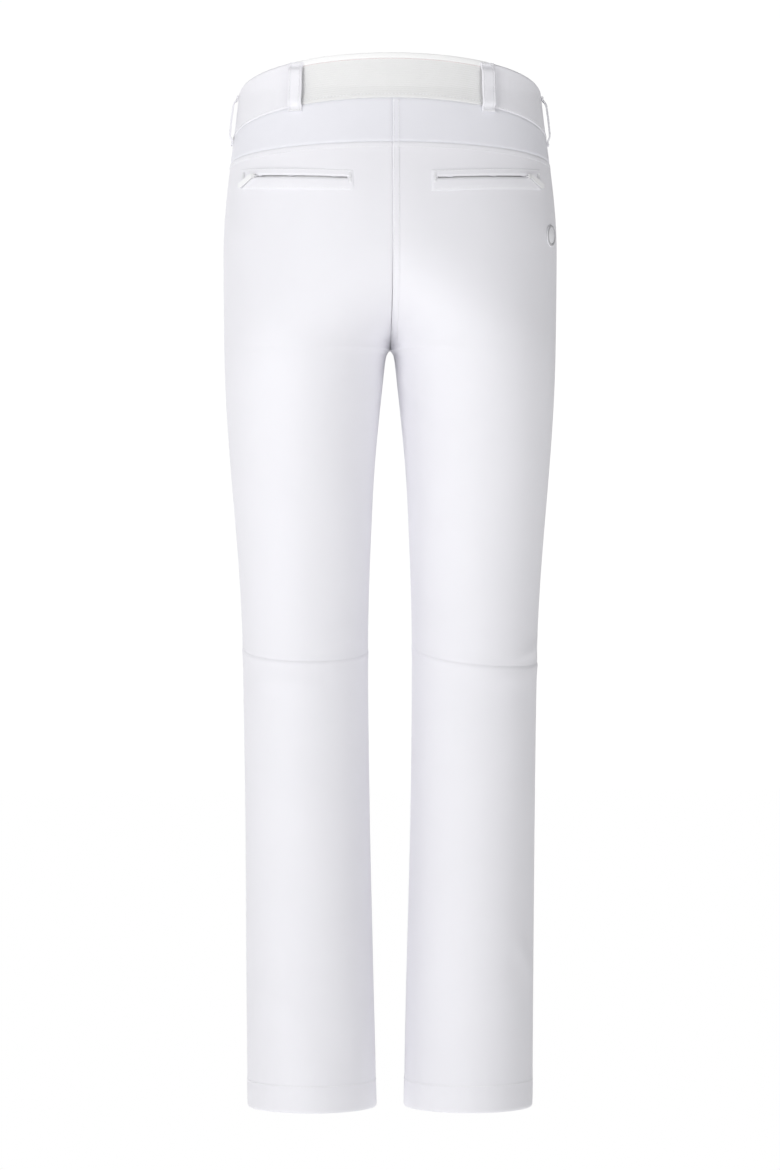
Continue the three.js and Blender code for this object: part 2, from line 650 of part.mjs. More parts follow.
function addBackPocket(group, side) {
  const plateBottom = LIP_PROUD - CLOTH - LIP_ROOM - PLATE;
  const chainTop = plateBottom - CLEAR;
  const chainBottom = chainTop - CHAIN_HEIGHT + CHAIN_PROUD;
  const half = CHAIN_WIDTH / 2 - CHAIN_PROUD;
  const chain = curvedBar(zipFrom, zipTo, -half, half, chainBottom, chainTop);
  const tape = curvedBar(
    zipFrom - ZIP_MARGIN / 2,
    zipTo + ZIP_MARGIN / 2,
    -TAPE_WIDTH / 3,
    TAPE_WIDTH / 3,
    chainBottom - TRIM / 2,
    chainBottom + TRIM / 2,
  );
  const closed = arcFrame(zipTo - SLIDER_LENGTH / 2 - SLIDER_STOP);
  // the puller points outwards along the pocket and droops
  const puller = pullerShape(plateBottom, PULLER_DROOP, pocketPinHeight).rotateZ(Math.PI);
  const slider = sliderShape(plateBottom, POCKET_SLIDER_WIDTH, pocketPinHeight);
  piece(group, `${side}_back_welt`, backWelt(), cloth);
  piece(group, `${side}_back_zip`, join(tape, chain), coil);
  piece(group, `${side}_back_slider`, slider.applyMatrix4(closed), steel);
  piece(group, `${side}_back_puller`, puller.applyMatrix4(closed), steel);
  piece(group, `${side}_back_bag`, backBag(), lining);
}

// ---------- Hand pockets ----------
function frontPoint({ fromSide, down }) {
  const x = HIP_WIDTH / 2 - fromSide;
  const z = belowWaist((height) => frontHalf(x, height), BAND_HEIGHT + down);
  return frontHalf(x, z);
}
const handTop = frontPoint(HAND_ZIP_TOP);
const handFoot = frontPoint(HAND_ZIP_FOOT);

// Both layers of an empty hand pocket lie flat behind its zip.
function handBag() {
  const depth = CLOTH + 2 * LOOSE + TRIM + 2;
  return sheet(8, 7, (i, j, layer) => {
    const t = j / 7;
    const z = mix(handFoot.z - HAND_BAG.drop, handTop.z + 6, t);
    const { centre, half } = section(z);
    const edge = Math.min(mix(handFoot.x, handTop.x, t) + HAND_BAG.past, centre + 0.96 * half);
    const start = UNDERLAP_EDGE + mix(...HAND_BAG.fromUnderlap, t);
    return frontHalf(mix(start, edge, i / 8), z, -depth - layer * 2 * TRIM);
  });
}

// ---------- Panels ----------
// Rows are closest together where the seat curves in to the crotch.
const UPPER_ROWS = [0.05, 0.12, 0.2, 0.3, 0.42, 0.56, 0.7, 0.85, 1];
const upperRows = (top) => [
  KNEE_TOP + HALF_SEAM,
  mix(KNEE_TOP, INSEAM, 0.33),
  mix(KNEE_TOP, INSEAM, 0.66),
  INSEAM - 25,
  INSEAM - 4,
  INSEAM,
  ...UPPER_ROWS.map((t) => mix(INSEAM, top - HALF_SEAM, t)),
];
const shinRows = () => [0, 0.25, 0.5, 0.75, 1].map((t) => mix(0, KNEE_BOTTOM - HALF_SEAM, t));

function yoke() {
  return panel(0, 1, (turn) => {
    const [low, high] = [yokeSeam(turn) + HALF_SEAM, bandSeam(turn) - SEAM];
    return [low, mix(low, high, 0.5), high];
  });
}

function backPanel() {
  const whole = panel(0, 1, (turn) => upperRows(yokeSeam(turn)));
  return cut(whole, windowBlock(SEAM, 5, 10));
}

// The leg's pieces that go all the way round; rows lists their heights and depth how far in they lie.
function legRing(rows, depth, thickness) {
  const at = (i, j, layer) => skin(i / FACETS - 1, rows[j], -depth - layer * thickness);
  return sheet(2 * FACETS, rows.length - 1, at, true);
}

const kneeFold = () =>
  legRing(
    [0, 0.25, 0.5, 0.75, 1].map((t) => mix(KNEE_BOTTOM + HALF_SEAM, KNEE_TOP - HALF_SEAM, t)),
    0,
    CLOTH,
  );

// ---------- Snow gaiters ----------
// A point on the gaiter's cone: t runs from 0 at its elastic foot to 1 at the seam inside the shin.
function onGaiter(i, t, inwards) {
  const turn = i / FACETS - 1;
  const angle = turn * Math.PI;
  const head = skin(turn, GAITER_TOP, -CLOTH - CLEAR);
  const foot = new THREE.Vector3(
    section(0).centre + (GAITER_FOOT.width / 2) * Math.cos(angle),
    (GAITER_FOOT.depth / 2) * Math.sin(angle),
    GAITER_FOOT.height,
  );
  const towardsAxis = new THREE.Vector3(-Math.cos(angle), -Math.sin(angle), 0);
  return foot.lerp(head, t).addScaledVector(towardsAxis, inwards);
}
const gaiterRing = (steps, inwards) =>
  sheet(2 * FACETS, steps.length - 1, (i, j, layer) => onGaiter(i, steps[j], inwards + layer * TRIM), true);
const elasticShare = ELASTIC_BAND / (GAITER_TOP - GAITER_FOOT.height);

// ---------- Belt loops and the hangers inside the waist ----------
function waistTangent(angle, down) {
  const step = 0.01;
  return waistPoint(angle + step, down).sub(waistPoint(angle, down)).setZ(0).normalize();
}

// A belt loop is one strip whose middle stands off the waistband; its path is [down, out].
function beltLoop(angle) {
  const off = CLEAR + LOOP_GAP;
  const path = [
    [BAND_HEIGHT + 6, CLEAR],
    [BAND_HEIGHT + 1, CLEAR],
    [BAND_HEIGHT - 3, off],
    [BAND_HEIGHT / 2, off + 0.4],
    [9, off],
    [5, CLEAR],
    [1, CLEAR],
  ];
  const tangent = waistTangent(angle, BAND_HEIGHT / 2);
  return sheet(1, path.length - 1, (i, j, layer) => {
    const [down, out] = path[j];
    const p = waistPoint(angle, down, out + (1 - layer) * CLOTH);
    return p.addScaledVector(tangent, mix(-LOOP_WIDTH / 2, LOOP_WIDTH / 2, i));
  });
}

const innerDepth = BAND + 2 * LOOSE + TRIM; // behind the waistband and its facing
function hanger() {
  const sag = [0, 5, 6, 5, 0];
  return sheet(1, 4, (i, j, layer) => {
    const down = mix(BAND_HEIGHT + 26, BAND_HEIGHT - 14, j / 4);
    const p = waistPoint(0, down, -innerDepth - sag[j] - layer * TRIM);
    return p.setY(p.y + mix(-4, 4, i));
  });
}

function careLabel() {
  return sheet(1, 3, (i, j, layer) => {
    const down = mix(BAND_HEIGHT + 40, BAND_HEIGHT - 6, j / 3);
    return waistPoint(Math.PI / 2, down, -innerDepth - layer * 0.6).setX(mix(15, -15, i));
  });
}

function badge() {
  const z = yokeCentre - BADGE.below;
  const at = onSkin(BADGE.angle, z, CLEAR);
  const outwards = onSkin(BADGE.angle, z, 1).sub(at);
  return new THREE.CylinderGeometry(BADGE.radius - 0.4, BADGE.radius, BADGE.thickness, 20)
    .translate(0, BADGE.thickness / 2 + CLEAR, 0)
    .rotateX(Math.PI / 2)
    .applyMatrix4(frameOf(at, new THREE.Vector3(0, 0, 1), outwards));
}

// ---------- Assembly ----------
const flySlit = addFly();
addWaistband();
addSnaps();
for (const [side, group] of sides) {
  const names = {
    zip: `${side}_hand_zip`,
    slider: `${side}_hand_slider`,
    puller: `${side}_hand_puller`,
  };
  const handSlit = addStraightZip(group, names, handFoot, handTop, frontHalf);
  const frontPanel = cut(panel(-1, 0, (turn) => upperRows(bandSeam(turn))), handSlit, flySlit);
  piece(group, `${side}_front_panel`, frontPanel, cloth);
  piece(group, `${side}_hand_bag`, handBag(), lining);
  piece(group, `${side}_yoke`, yoke(), cloth);
  piece(group, `${side}_back_panel`, backPanel(), cloth);
  addBackPocket(group, side);
  piece(group, `${side}_knee_fold`, kneeFold(), cloth);
  piece(group, `${side}_front_shin`, panel(-1, 0, shinRows), cloth);
  piece(group, `${side}_back_shin`, panel(0, 1, shinRows), cloth);
  piece(group, `${side}_hem_facing`, legRing([HEM_EASE, HEM_TURN], CLOTH + CLEAR, TRIM), cloth);
  piece(group, `${side}_gaiter`, gaiterRing([0, 0.12, 0.4, 1], 0), lining);
  piece(group, `${side}_gaiter_elastic`, gaiterRing([0, elasticShare], TRIM + CLEAR), stretch);
  piece(group, `${side}_back_loop`, beltLoop(elasticEnd), cloth);
  piece(group, `${side}_side_loop`, beltLoop(0), cloth);
  piece(group, `${side}_front_loop`, beltLoop(waistAngle(LOOP_FRONT_X, FRONT)), cloth);
  piece(group, `${side}_hanger`, hanger(), lining);
}
piece(right, "hip_badge", badge(), rubber);
piece(trousers, "care_label", careLabel(), lining);

export default model;
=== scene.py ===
"""White ski trousers with a stretch back waistband, shown from behind.

Lengths are millimetres until a mesh is made. Heights are counted from the hem, and the frame's origin is
the centre of the waist opening, SIDE_HEIGHT above it.
"""
import math

import bpy
import numpy as np
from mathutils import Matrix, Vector


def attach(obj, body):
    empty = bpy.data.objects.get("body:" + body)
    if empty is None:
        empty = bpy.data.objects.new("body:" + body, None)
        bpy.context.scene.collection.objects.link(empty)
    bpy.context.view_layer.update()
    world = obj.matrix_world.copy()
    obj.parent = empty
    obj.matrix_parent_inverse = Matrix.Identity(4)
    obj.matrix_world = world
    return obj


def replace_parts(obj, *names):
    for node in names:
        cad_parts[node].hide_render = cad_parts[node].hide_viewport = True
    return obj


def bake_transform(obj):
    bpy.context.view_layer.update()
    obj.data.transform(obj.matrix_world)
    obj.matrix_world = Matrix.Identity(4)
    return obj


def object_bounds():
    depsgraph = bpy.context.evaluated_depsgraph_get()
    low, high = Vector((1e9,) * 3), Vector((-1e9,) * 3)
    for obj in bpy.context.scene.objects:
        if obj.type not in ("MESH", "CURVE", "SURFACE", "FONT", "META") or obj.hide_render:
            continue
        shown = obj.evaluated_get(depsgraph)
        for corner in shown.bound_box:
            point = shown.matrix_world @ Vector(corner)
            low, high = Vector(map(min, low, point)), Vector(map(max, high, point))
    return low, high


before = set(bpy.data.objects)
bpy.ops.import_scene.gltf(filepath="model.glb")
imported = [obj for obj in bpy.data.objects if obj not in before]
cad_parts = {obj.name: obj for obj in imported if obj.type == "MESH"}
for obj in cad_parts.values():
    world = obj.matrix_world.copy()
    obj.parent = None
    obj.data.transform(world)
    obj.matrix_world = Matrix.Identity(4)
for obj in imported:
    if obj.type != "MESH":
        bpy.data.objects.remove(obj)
cad_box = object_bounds()
MM = 0.001

# ---------- The trousers' own dimensions ----------
INSEAM = 774
RISE = 296
KNEE_HEIGHT = 460
WAIST_WIDTH, WAIST_DEPTH, WAIST_DROP = 310, 196, 68
HIP_WIDTH, HIP_BACK, HIP_FRONT = 342, 122, 103
THIGH_WIDTH, THIGH_BACK, THIGH_FRONT = 170, 107, 95
KNEE_WIDTH, KNEE_DEPTH, KNEE_GAP = 128.5, 146, 45
HEM_WIDTH, HEM_DEPTH, HEM_GAP = 132, 172, 28
HIP_RISE, CROTCH_CURVE = 100, 190
CLOTH = 1.6
BAND = 2.4
BAND_HEIGHT = 46
ELASTIC_HALF = 96
YOKE_HEIGHT, YOKE_RISE = 45, 15
HEM_TURN = 27
HALF_SEAM = 0.06
CROTCH_SOFT = 0.1  # how gently the cloth leaves the crotch point, so that it shows no crease

SIDE_HEIGHT = INSEAM + RISE - WAIST_DROP / 2
WAIST_SLOPE = WAIST_DROP / WAIST_DEPTH
HIP_HEIGHT = INSEAM + HIP_RISE
THIGH_HEIGHT = (KNEE_HEIGHT + INSEAM) / 2
FRONT, BACK = -1, 1
SIDES = {"left": 1, "right": -1}


# ---------- Surface ----------
def profile(*stations):
    """A smooth curve of value against height through the stations, which never overshoots them."""
    z, v = np.array(stations, float).T
    rise = np.diff(v) / np.diff(z)
    slope = np.empty(len(z))
    slope[0], slope[-1] = rise[0], rise[-1]
    for i in range(1, len(z) - 1):
        a, b = rise[i - 1], rise[i]
        slope[i] = 0 if a * b <= 0 else 2 * a * b / (a + b)

    def value(height):
        at = np.clip(height, z[0], z[-1])
        i = np.clip(np.searchsorted(z, at, side="right") - 1, 0, len(z) - 2)
        h = z[i + 1] - z[i]
        t = (at - z[i]) / h
        ends = v[i] * (1 + 2 * t) * (1 - t) ** 2 + v[i + 1] * t * t * (3 - 2 * t)
        return ends + h * t * (1 - t) * (slope[i] * (1 - t) - slope[i + 1] * t)

    return value


outer = profile(
    (0, HEM_GAP / 2 + HEM_WIDTH),
    (KNEE_HEIGHT, KNEE_GAP / 2 + KNEE_WIDTH),
    (INSEAM, THIGH_WIDTH + HALF_SEAM),
    (HIP_HEIGHT, HIP_WIDTH / 2),
    (SIDE_HEIGHT, WAIST_WIDTH / 2),
)
inner = profile(
    (0, HEM_GAP / 2),
    (KNEE_HEIGHT, KNEE_GAP / 2),
    (THIGH_HEIGHT, 0.4 * KNEE_GAP),
    (INSEAM - 25, 6.4),
    (INSEAM - 4, 3.4),
    (INSEAM, HALF_SEAM),
)
back = profile(
    (0, HEM_DEPTH / 2),
    (KNEE_HEIGHT, KNEE_DEPTH / 2),
    (INSEAM, THIGH_BACK),
    (HIP_HEIGHT, HIP_BACK),
    (SIDE_HEIGHT, WAIST_DEPTH / 2),
)
front = profile(
    (0, HEM_DEPTH / 2),
    (KNEE_HEIGHT, KNEE_DEPTH / 2),
    (INSEAM, THIGH_FRONT),
    (HIP_HEIGHT, HIP_FRONT),
    (SIDE_HEIGHT, WAIST_DEPTH / 2),
)


def section(z):
    """The left half's oval at a height: its centre, half width, and its angle at the centre plane."""
    z = np.asarray(z, float)
    risen = np.clip((z - INSEAM) / CROTCH_CURVE, 0, 1)
    risen = (np.hypot(risen, CROTCH_SOFT) - CROTCH_SOFT) / (math.hypot(1, CROTCH_SOFT) - CROTCH_SOFT)
    share = (1 - risen**1.15) ** 4
    half = (outer(z) - HALF_SEAM) / (1 + share)
    leg = z <= INSEAM
    centre = np.where(leg, (outer(z) + inner(z)) / 2, HALF_SEAM + share * half)
    half = np.where(leg, (outer(z) - inner(z)) / 2, half)
    return centre, half, np.where(leg, np.pi, np.arccos(-share))


def depth_at(angle, z):
    return np.where(np.sin(angle) > 0, back(z), front(z))


def raised(at, angle, z, half, out):
    """A point of a surface at(angle, z), moved out along the surface's normal."""
    along = np.stack([-half * np.sin(angle), depth_at(angle, z) * np.cos(angle), 0 * angle * z], -1)
    normal = np.cross(along, at(angle, z + 0.5) - at(angle, z - 0.5))
    normal /= np.linalg.norm(normal, axis=-1, keepdims=True)
    return at(angle, z) + normal * np.asarray(out, float)[..., None]


def on_skin(angle, z, out=0.0):
    def at(a, h):
        centre, half, _ = section(h)
        return np.stack(np.broadcast_arrays(centre + half * np.cos(a), depth_at(a, h) * np.sin(a), h), -1)

    angle, z = np.broadcast_arrays(np.asarray(angle, float), np.asarray(z, float))
    return raised(at, angle, z, section(z)[1], out)


def skin(turn, z, out=0.0):
    """turn runs from -1 at the front centre or inseam, by 0 at the side seam, to 1 at the back's."""
    return on_skin(np.asarray(turn) * section(z)[2], z, out)


def angle_at(x, z, facing):
    centre, half, _ = section(z)
    return facing * np.arccos(np.clip((x - centre) / half, -1, 1))


def back_at(x, z, out=0.0):
    return on_skin(angle_at(x, z, BACK), z, out)


def front_half(x, z, out=0.0):
    return on_skin(angle_at(x, z, FRONT), z, out)


def front_at(x, z, out=0.0):
    p = front_half(np.abs(x), z, out)
    p[..., 0] *= np.sign(x)
    return p


def on_waist(angle, z, out=0.0):
    """The waist is one oval: angle 0 is its left side, 90 degrees its back."""

    def at(a, h):
        return np.stack(np.broadcast_arrays(outer(h) * np.cos(a), depth_at(a, h) * np.sin(a), h), -1)

    angle, z = np.broadcast_arrays(np.asarray(angle, float), np.asarray(z, float))
    return raised(at, angle, z, outer(z), out)


def below_waist(point, down):
    """The height, on a surface, of a line parallel to the waist edge and some way below it."""
    z = SIDE_HEIGHT
    for _ in range(6):
        z = SIDE_HEIGHT + point(z)[..., 1] * WAIST_SLOPE - down
    return z


def waist_point(angle, down, out=0.0):
    angle, down = np.broadcast_arrays(np.asarray(angle, float), np.asarray(down, float))
    return on_waist(angle, below_waist(lambda z: on_waist(angle, z), down), out)


def waist_angle(x, facing):
    return facing * np.arccos(x / (WAIST_WIDTH / 2))


YOKE_CENTRE = float(below_waist(lambda z: on_waist(np.pi / 2, z), BAND_HEIGHT)) - YOKE_HEIGHT


def yoke_seam(turn):
    return YOKE_CENTRE - YOKE_RISE * (1 - np.sin(np.abs(turn) * np.pi / 2))


def band_seam(turn):
    return below_waist(lambda z: skin(turn, z), BAND_HEIGHT)


KNEE_SEAMS = {"left": (470, 468, 13), "right": (455, 474, 12)}  # heights at the side and inseam, and the dip


def knee_seam(turn, side):
    outer_end, inner_end, dip = KNEE_SEAMS[side]
    turn = np.clip(turn, 0, 1)
    return outer_end + (inner_end - outer_end) * turn - dip * np.sin(turn * np.pi) ** 0.8


# ---------- Meshes ----------
def made(name, vertices, faces, materials, side=1, uv=None, slots=None, sharp=40):
    """An object from millimetre points. side -1 mirrors it onto the right."""
    points = np.array(vertices, float).reshape(-1, 3)
    points[:, 2] -= SIDE_HEIGHT
    points[:, 0] *= side
    points *= MM
    faces = [tuple(f) for f in faces]
    if side < 0:
        faces = [f[::-1] for f in faces]
    mesh = bpy.data.meshes.new(name)
    mesh.from_pydata(points.tolist(), [], faces)
    for material in materials:
        mesh.materials.append(material)
    if slots is not None:
        mesh.polygons.foreach_set("material_index", np.array(slots, np.int32))
    if uv is not None:
        corner = np.empty(len(mesh.loops), np.int32)
        mesh.loops.foreach_get("vertex_index", corner)
        layer = mesh.uv_layers.new(name="cloth")
        layer.data.foreach_set("uv", (np.array(uv, float).reshape(-1, 2)[corner] * MM).ravel())
    mesh.shade_smooth()
    mesh.set_sharp_from_angle(angle=math.radians(sharp))
    mesh.validate()
    obj = bpy.data.objects.new(name, mesh)
    bpy.context.scene.collection.objects.link(obj)
    return obj


def grid_faces(rows, columns, wrapped):
    j, i = np.mgrid[0 : rows - 1, 0 : columns if wrapped else columns - 1]
    k = (i + 1) % columns
    return np.stack([j * columns + i, j * columns + k, (j + 1) * columns + k, (j + 1) * columns + i], -1)


def shell(name, outside, inside, materials, side=1, wrapped=False, keep=None, uv=None, sharp=40):
    """A closed sheet between two grids of points. keep masks its cells, so that it can have holes."""
    rows, columns = outside.shape[:2]
    cells = grid_faces(rows, columns, wrapped)
    if keep is None:
        keep = np.ones(cells.shape[:2], bool)
    count = rows * columns
    top = cells[keep]
    bottom = top[:, ::-1] + count
    edges = {}
    for a, b, c, d in top.tolist():
        for e in ((a, b), (b, c), (c, d), (d, a)):
            if (e[1], e[0]) in edges:
                del edges[(e[1], e[0])]
            else:
                edges[e] = True
    walls = [(b, a, a + count, b + count) for a, b in edges]
    faces = top.tolist() + bottom.tolist() + walls
    slots = [0] * len(top) + [min(1, len(materials) - 1)] * len(bottom) + [0] * len(walls)
    points = np.concatenate([outside.reshape(-1, 3), inside.reshape(-1, 3)])
    if uv is None:
        step = np.linalg.norm(np.diff(outside, axis=1), axis=-1)
        u = np.concatenate([np.zeros((rows, 1)), np.cumsum(step, axis=1)], axis=1)
        u -= u[:, columns // 2, None]
        uv = np.stack([u, outside[..., 2]], -1)
    uv = np.concatenate([uv.reshape(-1, 2)] * 2)
    return made(name, points, faces, materials, side, uv, slots, sharp)


def spaced(length, step, near=(0.0, 0.5, 1.2, 2.2, 3.4, 4.5, 5.3, 6.6, 9.0), ends=(True, True)):
    """Distances along a length, closest together beside its seams."""
    low = list(near) if ends[0] else [0.0]
    high = [length - d for d in reversed(near)] if ends[1] else [length]
    count = max(2, int(round((high[0] - low[-1]) / step)))
    middle = np.linspace(low[-1], high[0], count + 1)[1:-1]
    return np.array(low + list(middle) + high)


def seam_relief(d, allowance=5.2):
    """How the cloth stands beside a seam, d from it: rolled under at the seam, raised over its allowance."""
    roll = -0.75 * np.exp(-((d / 0.8) ** 2))
    ridge = 0.35 / (1 + np.exp(np.clip((d - allowance - 0.8) / 0.5, -40, 40)))
    groove = -0.3 * np.exp(-(((d - allowance) / 0.55) ** 2))
    return roll + ridge + groove


STITCH_LENGTH, STITCH_GAP, THREAD = 2.6, 0.9, 0.32


def stitches(name, lines, side=1, length=STITCH_LENGTH, gap=STITCH_GAP, thread=THREAD, material=None):
    """Rows of stitches. Each line is an array of points and one of the surface's normals there."""
    vertices, faces = [], []
    ring = [(math.cos(a), math.sin(a)) for a in np.linspace(0, 2 * np.pi, 7)[:-1]]
    for points, normals in lines:
        steps = np.linalg.norm(np.diff(points, axis=0), axis=1)
        run = np.concatenate([[0], np.cumsum(steps)])
        starts = np.arange(gap, run[-1] - length, length + gap)

        def at(s, values):
            return np.stack([np.interp(s, run, values[:, k]) for k in range(3)], -1)

        for s in starts:
            ends = at(np.array([s, s + length / 2, s + length]), points)
            up = at(np.array([s + length / 2]), normals)[0]
            up /= np.linalg.norm(up)
            along = ends[2] - ends[0]
            along /= np.linalg.norm(along)
            across = np.cross(along, up)
            first = len(vertices)
            for t, lift in ((0.12, 0.25), (0.5, 0.6), (0.88, 0.25)):
                middle = ends[0] + (ends[2] - ends[0]) * t + up * thread * lift
                vertices += [middle + across * thread * c + up * thread * q * 0.8 for c, q in ring]
            vertices += [ends[0] - up * thread * 0.4, ends[2] - up * thread * 0.4]
            for a in (0, 6):
                for k in range(6):
                    n = (k + 1) % 6
                    faces.append((first + a + k, first + a + n, first + a + 6 + n, first + a + 6 + k))
            for k in range(6):
                n = (k + 1) % 6
                faces.append((first + 18, first + n, first + k))
                faces.append((first + 19, first + 12 + k, first + 12 + n))
    return made(name, vertices, faces, [material or THREAD_MATERIAL], side, sharp=80)


def line_on(surface, a, z, out):
    """A line of points on a surface and the normals there, for stitches."""
    points = surface(a, z, out)
    return points, surface(a, z, np.asarray(out) + 1) - points


def belongs(obj, body, slot, *nodes):
    """The body a piece rides on, and any nodes it stands for. The slot argument is not used."""
    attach(obj, body)
    if nodes:
        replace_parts(obj, *nodes)


def across_knee(obj):
    """Cloth with its transform baked into its mesh."""
    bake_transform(obj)
    return obj


# ---------- Materials ----------
def new_material(name, colour, roughness=0.8, metallic=0.0):
    material = bpy.data.materials.new(name)
    material.use_nodes = True
    shader = material.node_tree.nodes["Principled BSDF"]
    shader.inputs["Base Color"].default_value = (*colour, 1)
    shader.inputs["Roughness"].default_value = roughness
    shader.inputs["Metallic"].default_value = metallic
    return material, material.node_tree, shader


def node(tree, kind, inputs=(), **settings):
    made_node = tree.nodes.new(kind)
    for key, value in settings.items():
        setattr(made_node, key, value)
    for key, value in dict(inputs).items():
        if isinstance(value, bpy.types.NodeSocket):
            tree.links.new(value, made_node.inputs[key])
        else:
            made_node.inputs[key].default_value = value
    return made_node


def maths(tree, operation, a, b=0.0):
    return node(tree, "ShaderNodeMath", {0: a, 1: b}, operation=operation).outputs[0]


def threads(tree, per_metre, skew=0.0):
    """A woven relief from the cloth's own coordinates: warp and weft threads, 0 to 1."""
    uv = node(tree, "ShaderNodeTexCoord").outputs["UV"]
    turned = node(tree, "ShaderNodeMapping", {"Vector": uv, "Rotation": (0, 0, skew)})
    parts = node(tree, "ShaderNodeSeparateXYZ", {0: turned.outputs[0]})
    waves = []
    for axis in (0, 1):
        phase = maths(tree, "MULTIPLY", parts.outputs[axis], per_metre * 2 * math.pi)
        waves.append(maths(tree, "SINE", phase))
    product = maths(tree, "MULTIPLY", waves[0], waves[1])
    return maths(tree, "MULTIPLY_ADD", product, 0.5)


def tinted(tree, shader, colour, spread, scale):
    """Slight uneven colour, as dyed cloth has."""
    place = node(tree, "ShaderNodeTexCoord").outputs["Object"]
    noise = node(tree, "ShaderNodeTexNoise", {"Vector": place, "Scale": scale, "Detail": 4.0})
    ramp = node(tree, "ShaderNodeValToRGB", {"Fac": noise.outputs["Fac"]})
    ramp.color_ramp.elements[0].position = 0.3
    ramp.color_ramp.elements[1].position = 0.7
    ramp.color_ramp.elements[0].color = (*[c * (1 - spread) for c in colour], 1)
    ramp.color_ramp.elements[1].color = (*[min(1, c * (1 + spread * 0.5)) for c in colour], 1)
    tree.links.new(ramp.outputs["Color"], shader.inputs["Base Color"])


def bumped(tree, shader, height, strength, distance):
    bump = node(tree, "ShaderNodeBump", {"Height": height, "Strength": strength, "Distance": distance})
    tree.links.new(bump.outputs["Normal"], shader.inputs["Normal"])


def woven(name, colour, per_metre, roughness, sheen, strength=0.35, spread=0.015):
    material, tree, shader = new_material(name, colour, roughness)
    shader.inputs["Sheen Weight"].default_value = sheen
    shader.inputs["Sheen Roughness"].default_value = 0.4
    shader.inputs["Specular IOR Level"].default_value = 0.35
    tinted(tree, shader, colour, spread, 9.0)
    grain = node(
        tree,
        "ShaderNodeTexNoise",
        {"Vector": node(tree, "ShaderNodeTexCoord").outputs["Object"], "Scale": 900.0, "Detail": 2.0},
    )
    weave = threads(tree, per_metre)
    height = maths(tree, "ADD", weave, maths(tree, "MULTIPLY", grain.outputs["Fac"], 0.6))
    bumped(tree, shader, height, strength, 0.0004)
    return material


def metal(name, colour, roughness):
    material, tree, shader = new_material(name, colour, roughness, 1.0)
    place = node(tree, "ShaderNodeTexCoord").outputs["Object"]
    brushed = node(tree, "ShaderNodeMapping", {"Vector": place, "Scale": (1, 1, 0.08)})
    noise = node(tree, "ShaderNodeTexNoise", {"Vector": brushed.outputs[0], "Scale": 1500.0, "Detail": 3.0})
    bumped(tree, shader, noise.outputs["Fac"], 0.15, 0.0002)
    return material


SHELL = woven("softshell", (0.86, 0.855, 0.895), 900, 0.78, 0.15)
# Painted shade: the yoke's cloth is a darker, bluer copy of the shell, standing in for the shade step at the
# yoke seam.
SHADED_YOKE_SHELL = woven("softshell_yoke_painted_shade", (0.835, 0.835, 0.885), 900, 0.78, 0.15)
INSIDE = woven("brushed_inside", (0.84, 0.84, 0.87), 500, 0.95, 0.4, 0.5)
ELASTIC = woven("elastic_webbing", (0.81, 0.81, 0.81), 700, 0.85, 0.1, 0.4)
BINDING = woven("elastic_binding", (0.93, 0.93, 0.93), 900, 0.85, 0.1)
ROSE_THREAD = woven("rose_thread", (0.84, 0.74, 0.745), 2500, 0.6, 0.2)
LINING = woven("lining", (0.83, 0.83, 0.86), 1200, 0.6, 0.1)
SATIN = woven("satin_tape", (0.88, 0.88, 0.9), 1600, 0.4, 0.0, 0.25)
TAPE = woven("zip_tape", (0.84, 0.84, 0.85), 1000, 0.85, 0.1, 0.6)
THREAD_MATERIAL = woven("thread", (0.9, 0.9, 0.92), 2500, 0.6, 0.2)
COIL = new_material("nylon_coil", (0.85, 0.85, 0.85), 0.4)[0]
METAL = metal("satin_nickel", (0.72, 0.72, 0.73), 0.3)
LACQUER = new_material("white_lacquer", (0.84, 0.84, 0.85), 0.32)[0]
PLASTIC = new_material("moulded_badge", (0.87, 0.87, 0.9), 0.45)[0]
RIM = new_material("badge_rim", (0.5, 0.5, 0.52), 0.4)[0]
CLOTHS = [SHELL, INSIDE]

# ---------- Folds ----------
# Each fold of the cloth: where it starts and ends (turn, height), how wide it is and how far it stands out.
FOLDS = {
    "left": (
        (0.72, 700, 0.96, 748, 9, 1.6),
        (0.60, 722, 0.93, 766, 8, -1.2),
        (0.55, 470, 0.92, 486, 8, 1.5),
        (0.20, 440, 0.60, 430, 10, 1.2),
        (0.70, 520, 0.97, 560, 12, 1.3),
        (0.15, 130, 0.45, 95, 14, 1.4),
        (0.62, 60, 0.92, 110, 12, 1.2),
        (-0.2, 452, -0.8, 470, 9, 1.6),
        (-0.3, 500, -0.85, 530, 10, 1.1),
        (-0.96, 760, -0.6, 700, 9, 1.8),
        (-0.97, 790, -0.66, 742, 8, -1.3),
        (0.1, 905, 0.4, 880, 14, 0.9),
    ),
    "right": (
        (0.70, 716, 0.97, 752, 8, 1.5),
        (0.62, 690, 0.93, 735, 9, -1.1),
        (0.05, 474, 0.34, 452, 7, 1.9),
        (0.10, 446, 0.50, 436, 9, 1.3),
        (0.60, 480, 0.93, 500, 10, 1.0),
        (0.10, 128, 0.28, 178, 8, 1.5),
        (0.30, 150, 0.62, 95, 13, 1.1),
        (-0.25, 448, -0.8, 474, 9, 1.7),
        (-0.3, 514, -0.85, 505, 10, 1.0),
        (-0.96, 752, -0.6, 690, 9, 1.7),
        (-0.97, 786, -0.64, 735, 8, -1.2),
        (0.15, 912, 0.45, 886, 14, 0.8),
    ),
}
TURN_LENGTH = 215  # millimetres of cloth in one turn, near enough for folds
WAVES = np.random.default_rng(7).uniform(-1, 1, (2, 9, 4))


